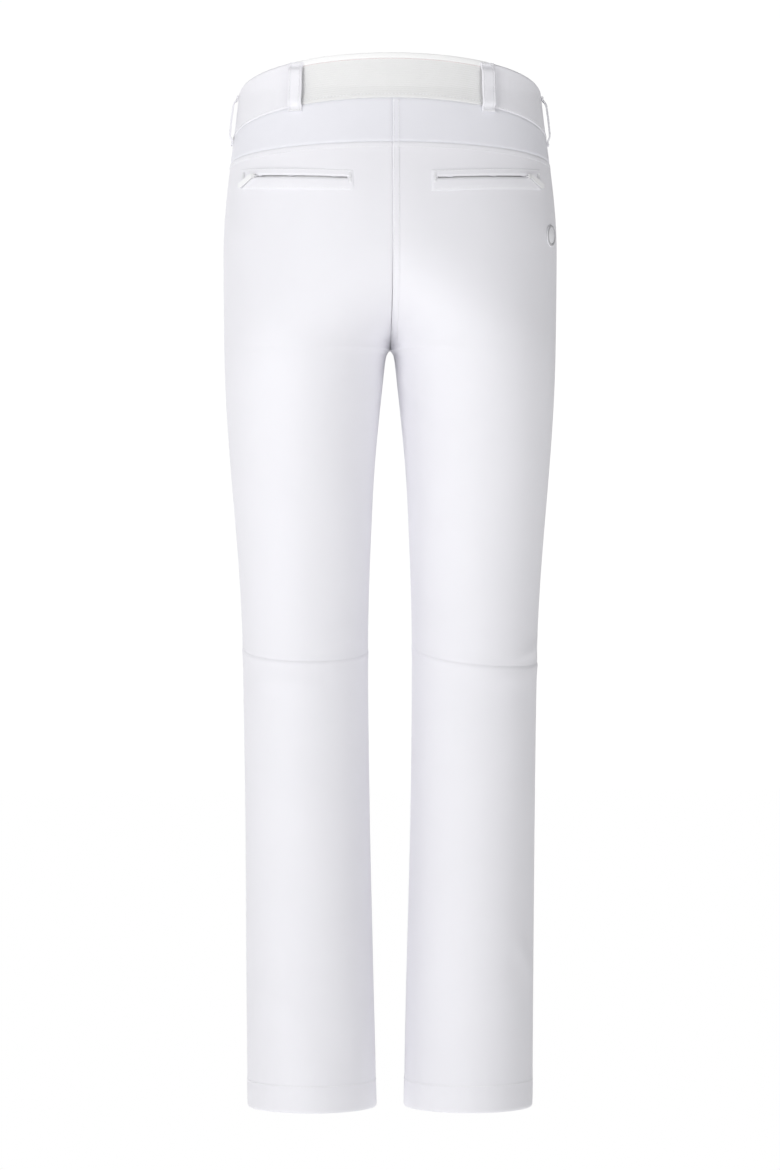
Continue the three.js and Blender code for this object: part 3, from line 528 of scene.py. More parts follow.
def wrinkles(side, turn, z):
    s = turn * TURN_LENGTH
    total = np.zeros(np.broadcast(s, z).shape)
    for t0, z0, t1, z1, width, height in FOLDS[side]:
        along = np.array([(t1 - t0) * TURN_LENGTH, z1 - z0])
        length = np.hypot(*along)
        along /= length
        ds, dz = s - t0 * TURN_LENGTH, z - z0
        t = np.clip((ds * along[0] + dz * along[1]) / length, 0, 1)
        gap = np.hypot(ds - t * length * along[0], dz - t * length * along[1])
        total += height * np.sin(np.pi * t) ** 0.8 * np.exp(-((gap / width) ** 2))
    for k, (a, b, phase, size) in enumerate(WAVES[0 if side == "left" else 1]):
        wave = (0.03 + 0.008 * k) * (a * s + 0.45 * b * z) + phase * 6
        total += 0.22 * size * np.sin(wave)
    return total


def puckers(d, along, wavelength, height, reach):
    """Small ripples square to a seam, dying away from it."""
    ripple = np.sin(2 * np.pi * along / wavelength + 1.3 * np.sin(along / (1.7 * wavelength)))
    return height * ripple * np.exp(-((d / reach) ** 2))


def knee_puckers(d, along, side):
    """Puckers at the knee seam, strongest by the right leg's side seam."""
    size = 0.22 if side == "left" else 0.22 + 0.5 * np.exp(-(((along - 24) / 22) ** 2))
    return size * puckers(d, along, 9, 1.0, 9)


# ---------- Zips in the front ----------
ZIP_MARGIN, ZIP_ROOM = 5, 10  # beyond the chain's ends; width of the slot its slider runs in
FLY_ZIP = 96
HAND_ZIP_TOP, HAND_ZIP_FOOT = (49, 22), (33, 162)  # from the side, below the waistband
HAND_COLUMN = 9  # the column of cells where a hand pocket's slot starts
FLY_COLUMN = 5  # how many columns of cells the fly's slot takes in
ZIP_PASSES = 4  # a moved column meets the slot at a new height, so its place is found again this often


def front_point(from_side, down):
    x = HIP_WIDTH / 2 - from_side
    return front_half(x, float(below_waist(lambda z: front_half(x, z), BAND_HEIGHT + down)))


fly_top = float(below_waist(lambda z: front_half(0.0, z), BAND_HEIGHT)) - 0.3 - ZIP_MARGIN - 0.3
fly_foot = fly_top - FLY_ZIP
hand_top, hand_foot = front_point(*HAND_ZIP_TOP), front_point(*HAND_ZIP_FOOT)


def beside_zips(distance, z, run, arc):
    """The panel's columns moved over so that they follow the edges of the zips' slots."""
    moved = distance.copy()
    height = z[:, HAND_COLUMN + 1]
    here = np.clip(height, hand_foot[2], hand_top[2])
    x = hand_foot[0] + (hand_top[0] - hand_foot[0]) * (here - hand_foot[2]) / (hand_top[2] - hand_foot[2])
    turn = np.abs(angle_at(x, height, FRONT)) / section(height)[2]
    near = np.exp(-(((height - here) / 70) ** 2))
    first, last = HAND_COLUMN, HAND_COLUMN + 2
    for j in range(len(height)):
        middle = np.interp(turn[j], np.linspace(0, 1, run.shape[1]), run[j])
        low, high = distance[j, first], distance[j, last]
        to_low = low + (middle - ZIP_ROOM / 2 - low) * near[j]
        to_high = high + (middle + ZIP_ROOM / 2 - high) * near[j]
        stops = [0, low, high, distance[j, -9], arc[j]]
        moved[j] = np.interp(distance[j], stops, [0, to_low, to_high, distance[j, -9], arc[j]])
    edge = distance.shape[1] - 1 - FLY_COLUMN
    share = np.exp(-((np.clip(fly_foot - z[:, edge], 0, None) / 40) ** 2))
    moved[:, edge] += share * ((arc - ZIP_ROOM / 2) - moved[:, edge])
    return moved


def zip_cells(last):
    """Cells of the front panel left out for zips, counted from the side seam."""
    return (
        (range(HAND_COLUMN, HAND_COLUMN + 2), hand_foot[2] - 1.5, hand_top[2] + 1.5),
        (range(last - FLY_COLUMN, last), fly_foot - 1.5, fly_top + 1.5),
    )


# ---------- Leg and seat panels ----------
MARGIN = 9.0  # width of the finely divided strip along each edge


def fitted(d, length, low, high):
    """Distances 0 to length along a strip, stretched in its middle to run from low to high."""
    d, low, high = np.broadcast_arrays(d, low, high)
    middle = low + MARGIN + (d - MARGIN) * (high - low - 2 * MARGIN) / (length - 2 * MARGIN)
    return np.where(d <= MARGIN, low + d, np.where(d >= length - MARGIN, high - (length - d), middle))


CROTCH_ROWS = np.concatenate([(0.35 * np.arange(0, 8) ** 2), [21.0, 25.0]])


def panel_ends(kind, turn, side):
    """Heights of a panel's foot and head."""
    foot = knee_seam(turn, side) if kind == "back_upper" else 0 * turn
    if kind == "back_lower":
        return foot, knee_seam(turn, side)
    return foot, yoke_seam(turn) if kind == "back_upper" else band_seam(turn)


def panel_rows(kind, turn, side):
    """Heights of a panel's rows in each column."""
    foot, head = (end[None] for end in panel_ends(kind, turn, side))
    if kind == "back_lower":
        d = spaced(KNEE_HEIGHT, 4.5, ends=(True, True))[:, None]
        return fitted(d, KNEE_HEIGHT, foot, head - HALF_SEAM)
    leg = INSEAM - 40.0 - foot
    low = spaced(300.0, 4.5, ends=(True, False))[:, None]
    below = foot + HALF_SEAM * (kind != "front") + low * leg / 300.0
    near = np.linspace(INSEAM - 36.0, INSEAM - 2, 12)[:, None] + 0 * turn
    above = INSEAM + CROTCH_ROWS[:, None] + 0 * turn
    rest = head - (INSEAM + 28.0)
    top = spaced(150.0, 3.6, ends=(False, True))[:, None]
    stretched = INSEAM + 28 + top / (150.0 - MARGIN) * (rest - MARGIN - HALF_SEAM)
    upper = np.where(top >= 150.0 - MARGIN, head - HALF_SEAM - (150.0 - top), stretched)
    return np.concatenate([below, near, above, upper])


def leg_panel(name, side, kind, seams, hole=None):
    """One shell panel. seams gives the stitched allowance at its (side, centre, foot, head) edges, or 0."""
    facing = FRONT if kind == "front" else BACK
    width = 200.0
    d = spaced(width, 4.2)
    turn = np.linspace(0, 1, len(d)) * facing
    for _ in range(2):
        z = panel_rows(kind, turn if turn.ndim == 1 else turn[len(turn) // 2], side)
        clear = HALF_SEAM * (z <= INSEAM)
        arc = np.diff(skin(np.linspace(0, facing, 40)[None], z[:, :1]), axis=1)
        arc = np.linalg.norm(arc, axis=-1).sum(1)[:, None]
        nominal = fitted(d[None], width, 0 * arc + HALF_SEAM, arc - clear)
        fine = np.linspace(0, 1, 121) * facing
        path = skin(fine[None], z[:, :1])
        run = np.cumsum(np.linalg.norm(np.diff(path, axis=1), axis=-1), 1)
        run = np.concatenate([np.zeros((len(z), 1)), run], 1)
        turn = np.stack([np.interp(nominal[j], run[j], fine) for j in range(len(z))])

    def heights():
        return np.stack([panel_rows(kind, turn[j], side)[j] for j in range(len(turn))])

    if kind == "front":
        plain = nominal
        for _ in range(ZIP_PASSES):
            nominal = beside_zips(plain, z, run, arc[:, 0])
            turn = np.stack([np.interp(nominal[j], run[j], fine) for j in range(len(z))])
            z = heights()
    else:
        z = heights()
    at_side = nominal
    at_centre = arc - nominal
    foot, head = panel_ends(kind, turn, side)
    out = wrinkles(side, turn, z)
    fade = np.clip(np.minimum(at_side, at_centre) / 14, 0, 1) * np.clip((head - z) / 14, 0, 1)
    if kind != "back_lower":
        fade = fade * np.clip((z - foot) / 14, 0.25, 1)
    out = out * (0.25 + 0.75 * fade)
    reliefs = [(at_side, seams[0]), (at_centre, seams[1]), (z - foot, seams[2]), (head - z, seams[3])]
    facing_out = np.where(z > INSEAM, np.sin(section(z)[2]) ** 2, 0.3)
    for n, (distance, allowance) in enumerate(reliefs):
        share = facing_out if n == 1 else 1.0
        if allowance:
            out = out + share * seam_relief(distance, allowance)
        elif (kind, n) not in (("back_upper", 2), ("back_lower", 3)):
            out = out - 0.75 * share * np.exp(-((distance / 1.1) ** 2))
    if kind == "back_upper":
        out = out - 0.1 * np.exp(-(((z - foot) / 2.0) ** 2)) + knee_puckers(z - foot, nominal, side)
    if kind == "back_lower":
        ridge = 0.85 * (1 - np.exp(-(((head - z) / 1.7) ** 2))) * np.exp(-(head - z) / 13) - 0.1
        out = out + ridge + knee_puckers(head - z, nominal, side)
    if kind != "back_upper":
        out = out - 0.35 * np.exp(-(((z - HEM_TURN) / 0.9) ** 2)) + 0.25 * (z < HEM_TURN)
        out = out + puckers(np.abs(z - HEM_TURN), nominal, 16, 0.25, 16)
    outside = skin(turn, z, out)
    inside = skin(turn, z, -CLOTH + 0 * z)
    if kind != "back_upper":
        outside[0, :, 2] = 0
        inside[0, :, 2] = 0
    if facing < 0:
        outside, inside, z, turn = outside[:, ::-1], inside[:, ::-1], z[:, ::-1], turn[:, ::-1]
    keep = None
    if hole is not None:
        x, h = outside[..., 0], outside[..., 2]
        holed = hole(x, h)
        keep = ~(holed[:-1, :-1] & holed[1:, :-1] & holed[:-1, 1:] & holed[1:, 1:])
    if kind == "front":
        keep = np.ones((z.shape[0] - 1, z.shape[1] - 1), bool)
        last = z.shape[1] - 1
        for columns, low, high in zip_cells(last):
            columns = [last - 1 - c for c in columns]
            here = z[:, columns[0]]
            rows = (here[1:] > low) & (here[:-1] < high)
            keep[np.ix_(rows, columns)] = False
    return shell(name, outside, inside, CLOTHS, SIDES[side], keep=keep)


# ---------- Back pocket ----------
POCKET_FROM_CENTRE, POCKET_FROM_SIDE = 39, 18
POCKET_HEIGHT, POCKET_SLOT, POCKET_LIP, POCKET_END = 22, 3, 7, 8
POCKET_BELOW_YOKE, POCKET_RISE = 37, 6
pocket_inner = POCKET_FROM_CENTRE
pocket_outer = HIP_WIDTH / 2 - POCKET_FROM_SIDE
LIP_GAP = 1.5  # between the soft lips, which close up beside the slider
zip_from, zip_to = pocket_inner + POCKET_END, pocket_outer - POCKET_END
lip_top = POCKET_LIP + POCKET_SLOT / 2
lip_bottom = POCKET_HEIGHT - lip_top


def pocket_height(x):
    share = (x - pocket_inner) / (pocket_outer - pocket_inner)
    return YOKE_CENTRE - POCKET_BELOW_YOKE + POCKET_RISE * share


def in_pocket(x, z):
    up = z - pocket_height(x)
    return (x > pocket_inner + 3) & (x < pocket_outer - 3) & (up > 4 - lip_bottom) & (up < lip_top - 4)


def back_welt(side):
    """The two lips of a back pocket: a narrow one above the slot and a broad one below it."""
    x = pocket_outer - spaced(pocket_outer - pocket_inner, 2.6)
    rims = np.array([0, 0.4, 1.0, 1.8, 3.0])
    slot = LIP_GAP / 2
    low = np.concatenate([-lip_bottom + rims, [-8.5, -6.5, -5.0], -slot - rims[::-1]])
    high = np.concatenate([slot + rims, [5.4], lip_top - rims[::-1]])
    up = np.concatenate([low, high])[:, None]
    x, up = np.broadcast_arrays(x[None], up)
    beside = np.minimum(np.abs(up - slot), np.abs(up + slot))
    open_here = (x > zip_from - 2) & (x < zip_to + 2)
    rolled = -0.6 * np.exp(-((beside / 0.9) ** 2)) + 0.35 * np.exp(-(((beside - 2.2) / 1.6) ** 2))
    lip = np.where(open_here, rolled, 0)
    rim = np.minimum(up + lip_bottom, lip_top - up)
    ends = np.minimum(x - pocket_inner, pocket_outer - x)
    border = -0.45 * np.exp(-((rim / 0.9) ** 2)) - 0.45 * np.exp(-((ends / 0.9) ** 2))
    share = np.clip((up + lip_bottom) / (lip_bottom - slot), 0, 1)
    fullness = np.where(up < -slot, 0.5 * np.sin(np.pi * share), 0)
    out = 0.55 + lip + border + fullness - 0.2 * np.exp(-(((up + lip_bottom - 2.0) / 0.5) ** 2))
    z = pocket_height(x) + up
    keep = np.ones((len(up) - 1, up.shape[1] - 1), bool)
    middle = len(low) - 1
    keep[middle] = ~(open_here[0, :-1] & open_here[0, 1:])
    outside, inside = back_at(x, z, out), back_at(x, z, 0 * x - 1.1)
    obj = shell(f"{side}_pocket_welt", outside, inside, CLOTHS, SIDES[side], keep=keep)
    belongs(obj, "upper", "shell", f"{side}_back_welt")

    def sewn(up_at, x0, x1):
        xs = np.linspace(x0, x1, 60)
        return line_on(back_at, xs, pocket_height(xs) + up_at, 0.6)

    def tack(x_at, low_up, high_up):
        ups = np.linspace(low_up, high_up, 12)
        return line_on(back_at, x_at + 0 * ups, pocket_height(x_at) + ups, 0.95)

    rows = [sewn(-lip_bottom + 2.0, pocket_inner + 1.5, pocket_outer - 1.5)]
    rows.append(sewn(lip_top - 1.8, pocket_inner + 1.5, pocket_outer - 1.5))
    seam = stitches(f"{side}_pocket_stitches", rows, SIDES[side])
    tacks = [tack(x_at + k * 0.75, -5.2, 4.6) for x_at in (zip_from - 5.2, zip_to + 3.4) for k in range(3)]
    tacked = stitches(f"{side}_pocket_tacks", tacks, SIDES[side], length=1.5, gap=0.15, thread=0.5)
    for piece in (seam, tacked):
        belongs(piece, "upper", "shell")


# ---------- Yoke ----------
def yoke(side):
    width, height = 200.0, 44.0
    d = spaced(width, 4.2)
    turn = (d / width)[None]
    up = spaced(height, 3.4)[:, None]
    low, high = yoke_seam(turn) + HALF_SEAM, band_seam(turn) - 2 * HALF_SEAM
    z = fitted(up, height, low, high)
    arc = np.linalg.norm(np.diff(skin(np.linspace(0, 1, 60), z[len(z) // 2, 0]), axis=0), axis=-1).sum()
    along = turn * arc
    out = wrinkles(side, turn, z) * 0.4
    centre_allowance = 0 if side == "left" else 6.5
    for distance, allowance in ((along, 0), (arc - along, centre_allowance), (z - low, 0), (high - z, 0)):
        if allowance:
            out = out + seam_relief(distance, allowance)
        else:
            out = out - 0.75 * np.exp(-((distance / 1.1) ** 2))
    keep_turn = np.clip(turn, HALF_SEAM / arc, 1) + 0 * z
    outside, inside = skin(keep_turn, z, out), skin(keep_turn, z, -CLOTH + 0 * z)
    # The yoke takes the darker copy of the shell: painted shade along the yoke seam.
    obj = shell(f"{side}_yoke_cloth", outside, inside, [SHADED_YOKE_SHELL, INSIDE], SIDES[side])
    belongs(obj, "upper", "shell", f"{side}_yoke")


# ---------- Waistband ----------
TAB_ROOT, TAB_TIP, TAB_GAP, UNDERLAP_TIP = -38, 24, 2.6, -30
HALF_SEAM_ANGLE = HALF_SEAM / (WAIST_DEPTH / 2)
elastic_end = float(waist_angle(ELASTIC_HALF, BACK))
tab_root = float(waist_angle(TAB_ROOT, FRONT))
ramp_start, ramp_end = TAB_TIP + 2, TAB_TIP + 10


def band_downs():
    return BAND_HEIGHT - spaced(BAND_HEIGHT, 3.2, near=(0, 0.4, 0.9, 1.5, 2.1, 2.8, 4.0))


def band_mesh(name, angles, relief, materials, depth=None, body="upper", thickness=BAND):
    """A length of waistband; relief(angle, down) is how far its face stands out."""
    down = band_downs()[:, None]
    angles = np.asarray(angles)[None]
    behind = 0 if depth is None else depth
    edge = np.minimum(down, BAND_HEIGHT - down)
    ends = np.minimum(angles - angles.min(), angles.max() - angles) * 110
    rounding = 1.0 * np.exp(-((edge / 0.8) ** 2)) + 0.8 * np.exp(-((ends / 0.9) ** 2))
    out = relief(angles, down) - rounding - behind
    back_face = -thickness + 0.5 * np.exp(-((edge / 0.8) ** 2)) - behind
    outside = waist_point(angles + 0 * down, down + 0 * angles, out)
    inside = waist_point(angles + 0 * down, down + 0 * angles, back_face + 0 * angles)
    obj = shell(name, outside, inside, materials)
    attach(obj, body)
    return obj


def band_wave(angle, down):
    sewn_line = 0.3 * np.exp(-(((BAND_HEIGHT - down - 2.4) / 0.5) ** 2))
    return 0.25 * np.sin(angle * 9) * np.sin(down * 0.07) - sewn_line


def gathered(angle, down):
    """Ripples where the shell is sewn to the elastic."""
    left, right = np.abs(angle - elastic_end) * 110, np.abs(angle - (np.pi - elastic_end)) * 110
    near = np.minimum(left, right)
    ripple = 0.55 * np.sin(near * 0.9) * np.exp(-near / 12)
    return band_wave(angle, down) + ripple * np.sin(np.pi * down / BAND_HEIGHT)


RIBS = 21
EDGING = 5.6  # width of the woven edging along the top of the elastic


def edging(angles):
    """The smooth edging along the elastic's upper edge."""
    down = (EDGING - spaced(EDGING, 0.8, near=(0, 0.4, 0.8)))[:, None]
    beside = np.minimum(down, EDGING - down)
    out = 0.45 - 0.45 * np.exp(-((beside / 0.5) ** 2))
    angles, down = angles + 0 * down, down + 0 * angles
    outside = waist_point(angles, down, out + 0 * angles)
    inside = waist_point(angles, down, -0.25 + 0 * angles)
    obj = shell("elastic_edging", outside, inside, [BINDING] * 2)
    belongs(obj, "upper", "stretch")


def webbing(angle, down):
    """Ribbed elastic with a smooth border along both edges."""
    edge = np.minimum(down, BAND_HEIGHT - down)
    ribs = 0.05 * np.cos(2 * np.pi * RIBS * down / BAND_HEIGHT) * (edge > 4.5)
    groove = -0.2 * np.exp(-(((edge - 4.2) / 0.6) ** 2)) * (down > BAND_HEIGHT / 2)
    shirr = 0.12 * np.sin(angle * 38) * np.sin(np.pi * down / BAND_HEIGHT)
    return ribs + groove + shirr


def steps(start, end, count, ends=(True, True)):
    """Angles from start to end, closest together at the ends."""
    return start + (end - start) * spaced(1.0, 1 / count, near=(0, 0.004, 0.01, 0.02, 0.035), ends=ends)


def waistband():
    right_root = 2 * np.pi + tab_root
    fine = np.linspace(0, BAND_HEIGHT, 8 * RIBS + 1)[::-1, None]
    angles = steps(elastic_end + HALF_SEAM_ANGLE, np.pi - elastic_end - HALF_SEAM_ANGLE, 60)[None]
    edge = np.minimum(fine, BAND_HEIGHT - fine)
    out = webbing(angles, fine) - 0.9 * np.exp(-((edge / 0.7) ** 2)) - 0.1
    outside = waist_point(angles + 0 * fine, fine + 0 * angles, out)
    inside = waist_point(angles + 0 * fine, fine + 0 * angles, -BAND + 0 * out)
    elastic = shell("waist_elastic", outside, inside, [ELASTIC, INSIDE])
    belongs(elastic, "upper", "stretch", "back_elastic")
    edging(angles)
    angles = steps(np.pi - elastic_end + HALF_SEAM_ANGLE, right_root - HALF_SEAM_ANGLE, 110)
    right = band_mesh("right_band", angles, gathered, CLOTHS)
    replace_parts(right, "right_waistband")
    stops = [float(waist_angle(x, FRONT)) for x in (UNDERLAP_TIP, ramp_start, ramp_end)]
    stops.append(elastic_end - HALF_SEAM_ANGLE)
    angles = np.concatenate(
        [
            np.linspace(stops[0], stops[1], 20)[:-1],
            np.linspace(stops[1], stops[2], 8)[:-1],
            steps(stops[2], stops[3], 110, ends=(False, True)),
        ]
    )
    x = on_waist(angles, SIDE_HEIGHT)[:, 0]
    share = np.clip((x - ramp_start) / (ramp_end - ramp_start), 0, 1)
    depth = (BAND + TAB_GAP) * (1 - share * share * (3 - 2 * share)) * (angles < stops[2])
    left = band_mesh("left_band", angles, gathered, CLOTHS, depth=depth[None])
    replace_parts(left, "left_waistband")
    tab = band_mesh(
        "waist_tab_cloth",
        np.linspace(tab_root + HALF_SEAM_ANGLE, float(waist_angle(TAB_TIP, FRONT)), 40),
        band_wave,
        CLOTHS,
        body="waist_tab",
    )
    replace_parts(tab, "waist_tab")

    def sewn(a, b, down, out=0.25, count=160):
        angles = np.linspace(a, b, count)
        points = waist_point(angles, down + 0 * angles, out + 0 * angles)
        return points, waist_point(angles, down + 0 * angles, out + 1 + 0 * angles) - points

    low = BAND_HEIGHT - 2.4
    rows = [sewn(np.pi - elastic_end + 0.01, right_root, low), sewn(stops[2], elastic_end - 0.01, low)]
    rows.append(sewn(elastic_end, np.pi - elastic_end, BAND_HEIGHT - 4.2, 0))
    row = sewn(elastic_end, np.pi - elastic_end, EDGING + 0.5, 0)
    edging_seam = stitches("edging_stitches", [row], gap=0.3, material=ROSE_THREAD)
    belongs(edging_seam, "upper", "stretch")
    band_seams = stitches("band_stitches", rows)
    belongs(band_seams, "upper", "shell")
    a, b = tab_root + 0.02, float(waist_angle(TAB_TIP - 2.4, FRONT))
    tab_rows = [sewn(a, b, low), sewn(a, b, 2.4)]
    downs = np.linspace(2.4, low, 40)
    points = waist_point(b + 0 * downs, downs, 0.25 + 0 * downs)
    tab_rows.append((points, waist_point(b + 0 * downs, downs, 1.25 + 0 * downs) - points))
    tab_seams = stitches("tab_stitches", tab_rows)
    belongs(tab_seams, "waist_tab", "shell")


# ---------- Belt loops ----------
LOOP_WIDTH, LOOP_GAP, LOOP_FRONT_X = 15, 3.4, 80
LOOP_EDGE = np.array([0, 0.3, 0.8, 1.4, 1.8, 2.2, 2.6, 3.2, 4.0])


def belt_loop(name, side, angle):
    off = 0.3 + LOOP_GAP
    knots = [
        (BAND_HEIGHT + 6, 0.3),
        (BAND_HEIGHT + 1, 0.3),
        (BAND_HEIGHT - 3, off),
        (BAND_HEIGHT / 2, off + 0.4),
        (9, off),
        (5, 0.3),
        (1, 0.3),
    ]
    rows = 42
    t = np.linspace(0, len(knots) - 1, rows)
    down, out = (np.interp(t, range(len(knots)), [k[n] for k in knots]) for n in (0, 1))
    for _ in range(3):
        down[1:-1] = (down[:-2] + 2 * down[1:-1] + down[2:]) / 4
        out[1:-1] = (out[:-2] + 2 * out[1:-1] + out[2:]) / 4
    tangent = waist_point(angle + 0.01, BAND_HEIGHT / 2) - waist_point(angle, BAND_HEIGHT / 2)
    tangent[2] = 0
    tangent /= np.linalg.norm(tangent)
    across = np.concatenate([-LOOP_WIDTH / 2 + LOOP_EDGE, [0], (LOOP_WIDTH / 2 - LOOP_EDGE)[::-1]])
    edge = LOOP_WIDTH / 2 - np.abs(across)
    relief = -0.7 * np.exp(-((edge / 0.5) ** 2)) - 0.45 * np.exp(-(((edge - 2.2) / 0.45) ** 2))

    def strip(extra):
        p = waist_point(angle + 0 * down[:, None], down[:, None] + 0 * across, out[:, None] + extra)
        return p + tangent * across[None, :, None]

    outside, inside = strip(CLOTH + relief[None]), strip(0 * relief[None])
    obj = shell(name, outside, inside, [SHELL, SHELL], SIDES[side])
    belongs(obj, "upper", "shell")

    def row(offset, first, last):
        k = np.arange(first, last)
        low, high = (waist_point(angle + 0 * down[k], down[k], out[k] + CLOTH + up) for up in (-0.1, 0.9))
        points = low + tangent * offset
        return points, high + tangent * offset - points

    lines = [row(offset, 1, rows - 1) for offset in (-LOOP_WIDTH / 2 + 2.2, LOOP_WIDTH / 2 - 2.2)]
    seam = stitches(f"{name}_stitches", lines, SIDES[side])
    tacks = []
    for k in (1, 2, rows - 4, rows - 3):
        offsets = np.linspace(-LOOP_WIDTH / 2 + 1, LOOP_WIDTH / 2 - 1, 10)
        base = waist_point(angle, down[k], out[k] + CLOTH)
        above = waist_point(angle, down[k], out[k] + CLOTH + 1)
        tacks.append((base + tangent * offsets[:, None], np.repeat((above - base)[None], 10, 0)))
    tacked = stitches(f"{name}_tacks", tacks, SIDES[side], length=1.6, gap=0.15, thread=0.5)
    for piece in (seam, tacked):
        belongs(piece, "upper", "shell")
    return obj


# ---------- Building the shell ----------
def centre_stitches(side):
    """Two rows down one side of the centre back seam, on the right panel only."""
    rows = []
    for turn_gap in (1.6, 6.3):
        top, foot = float(band_seam(np.array(1.0))) - 1, INSEAM + 6
        z = np.linspace(foot, top, 160)
        points = back_at(turn_gap + 0 * z, z, 0.3)
        rows.append((points, back_at(turn_gap + 0 * z, z, 1.3) - points))
    obj = stitches("centre_back_stitches", rows, SIDES[side])
    belongs(obj, "upper", "shell")


def yoke_stitches(side):
    turn = np.linspace(0.01, 0.995, 200)
    obj = stitches(f"{side}_yoke_stitches", [line_on(skin, turn, yoke_seam(turn) - 5.2, 0.2)], SIDES[side])
    belongs(obj, "upper", "shell")


def hem_stitches(side):
    turn = np.linspace(-1, 1, 300)
    obj = stitches(f"{side}_hem_stitches", [line_on(skin, turn, HEM_TURN + 0 * turn, 0.05)], SIDES[side])
    belongs(obj, f"{side}_lower_leg", "shell")


for side in SIDES:
    centre = 0 if side == "left" else 6.5
    upper = leg_panel(f"{side}_seat_and_thigh", side, "back_upper", (0, centre, 0, 5.2), in_pocket)
    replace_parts(upper, f"{side}_back_panel")
    lower = leg_panel(f"{side}_calf", side, "back_lower", (0, 0, 0, 0))
    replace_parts(lower, f"{side}_back_shin")
    ahead = leg_panel(f"{side}_front_leg", side, "front", (0, 0, 0, 0))
    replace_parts(ahead, f"{side}_front_panel", f"{side}_knee_fold", f"{side}_front_shin")
    for obj in (upper, lower, ahead):
        across_knee(obj)
    back_welt(side)
    yoke(side)
    loop_angles = {"back": elastic_end, "side": 0.0, "front": float(waist_angle(LOOP_FRONT_X, FRONT))}
    for place, angle in loop_angles.items():
        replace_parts(belt_loop(f"{side}_{place}_belt_loop", side, angle), f"{side}_{place}_loop")
    yoke_stitches(side)
    hem_stitches(side)
centre_stitches("right")
waistband()


# ---------- Linings, bags, gaiters and zips ----------
def split_long_edges(points, triangles, longest):
    """A closed triangle mesh with every edge longer than that halved, until none is."""
    while True:
        edges = np.sort(triangles[:, [[0, 1], [1, 2], [2, 0]]], axis=-1).reshape(-1, 2)
        unique, back = np.unique(edges, axis=0, return_inverse=True)
        long = np.linalg.norm(points[unique[:, 0]] - points[unique[:, 1]], axis=1) > longest
        if not long.any():
            return points, triangles
        middle = np.full(len(unique), -1)
        middle[long] = len(points) + np.arange(long.sum())
        points = np.concatenate([points, points[unique[long]].mean(axis=1)])
        finer = []
        for (a, b, c), (ab, bc, ca) in zip(triangles.tolist(), middle[back.reshape(-1, 3)].tolist()):
            count = (ab >= 0) + (bc >= 0) + (ca >= 0)
            while count in (1, 2) and (ab < 0 or (count == 2 and ca >= 0)):
                a, b, c, ab, bc, ca = b, c, a, bc, ca, ab
            if count == 0:
                finer.append((a, b, c))
            elif count == 1:
                finer += [(a, ab, c), (ab, b, c)]
            elif count == 2:
                finer += [(ab, b, bc), (a, ab, bc), (a, bc, c)]
            else:
                finer += [(a, ab, ca), (ab, b, bc), (ca, bc, c), (ab, bc, ca)]
        triangles = np.array(finer)


def rumpled(points, size, wavelength, seed):
    """A smooth wandering field: how far loose cloth lies off its flat pattern."""
    random = np.random.default_rng(seed)
    total = np.zeros(points.shape)
    for _ in range(7):
        way, wave = random.normal(size=3), random.normal(size=3) * 3 / wavelength
        total += way * np.sin(points @ wave + random.uniform(0, 6))[:, None]
    return total * size / 4


def loose_piece(node, body, slot, material, longest, move, extra=None):
    """A cloth piece in a node's place, cut finer than the node and moved by move(points)."""
    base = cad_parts[node]
    points = np.empty(len(base.data.vertices) * 3)
    base.data.vertices.foreach_get("co", points)
    place = base.matrix_world
    points = points.reshape(-1, 3) @ np.array(place.to_3x3()).T + np.array(place.translation)
    points, same = np.unique(np.round(points / MM, 4), axis=0, return_inverse=True)
    points[:, 2] += SIDE_HEIGHT
    same = same.ravel()
    triangles = np.array([[same[v] for v in t.vertices] for t in base.data.polygons if len(t.vertices) == 3])
    triangles = triangles[[len(set(t)) == 3 for t in triangles.tolist()]]
    points, triangles = split_long_edges(points, triangles, longest)
    uv = np.stack([points[:, 0] + points[:, 1], points[:, 2]], -1)
    points = points + move(points)
    faces = triangles.tolist()
    slots = [0] * len(faces)
    if extra is not None:
        more, more_faces = extra
        faces += [[v + len(points) for v in f] for f in more_faces]
        slots += [1] * len(more_faces)
        uv = np.concatenate([uv, np.stack([more[:, 0] + more[:, 1], more[:, 2]], -1)])
        points = np.concatenate([points, more])
    obj = made(f"{node}_cloth", points, faces, [material, COIL], 1, uv, slots, sharp=50)
    belongs(obj, body, slot, node)
    return obj


def flat(points):
    return 0 * points


def gathers(centre_x, count, size, low, high):
    """Ripples in towards the leg's axis, strongest at low and gone at high."""

    def move(points):
        away = points[:, :2] - (centre_x, 0)
        around = np.arctan2(away[:, 1], away[:, 0])
        away /= np.linalg.norm(away, axis=1, keepdims=True)
        fade = np.clip((high - points[:, 2]) / (high - low), 0, 1) ** 1.3
        ripple = np.sin(around * count + 1.5 * np.sin(3 * around) + 0.02 * points[:, 2])
        return np.concatenate([away * (size * fade * ripple)[:, None], np.zeros((len(points), 1))], 1)

    return move


TOOTH_PITCH, TOOTH = 1.5, (2.9, 0.85, 0.5)


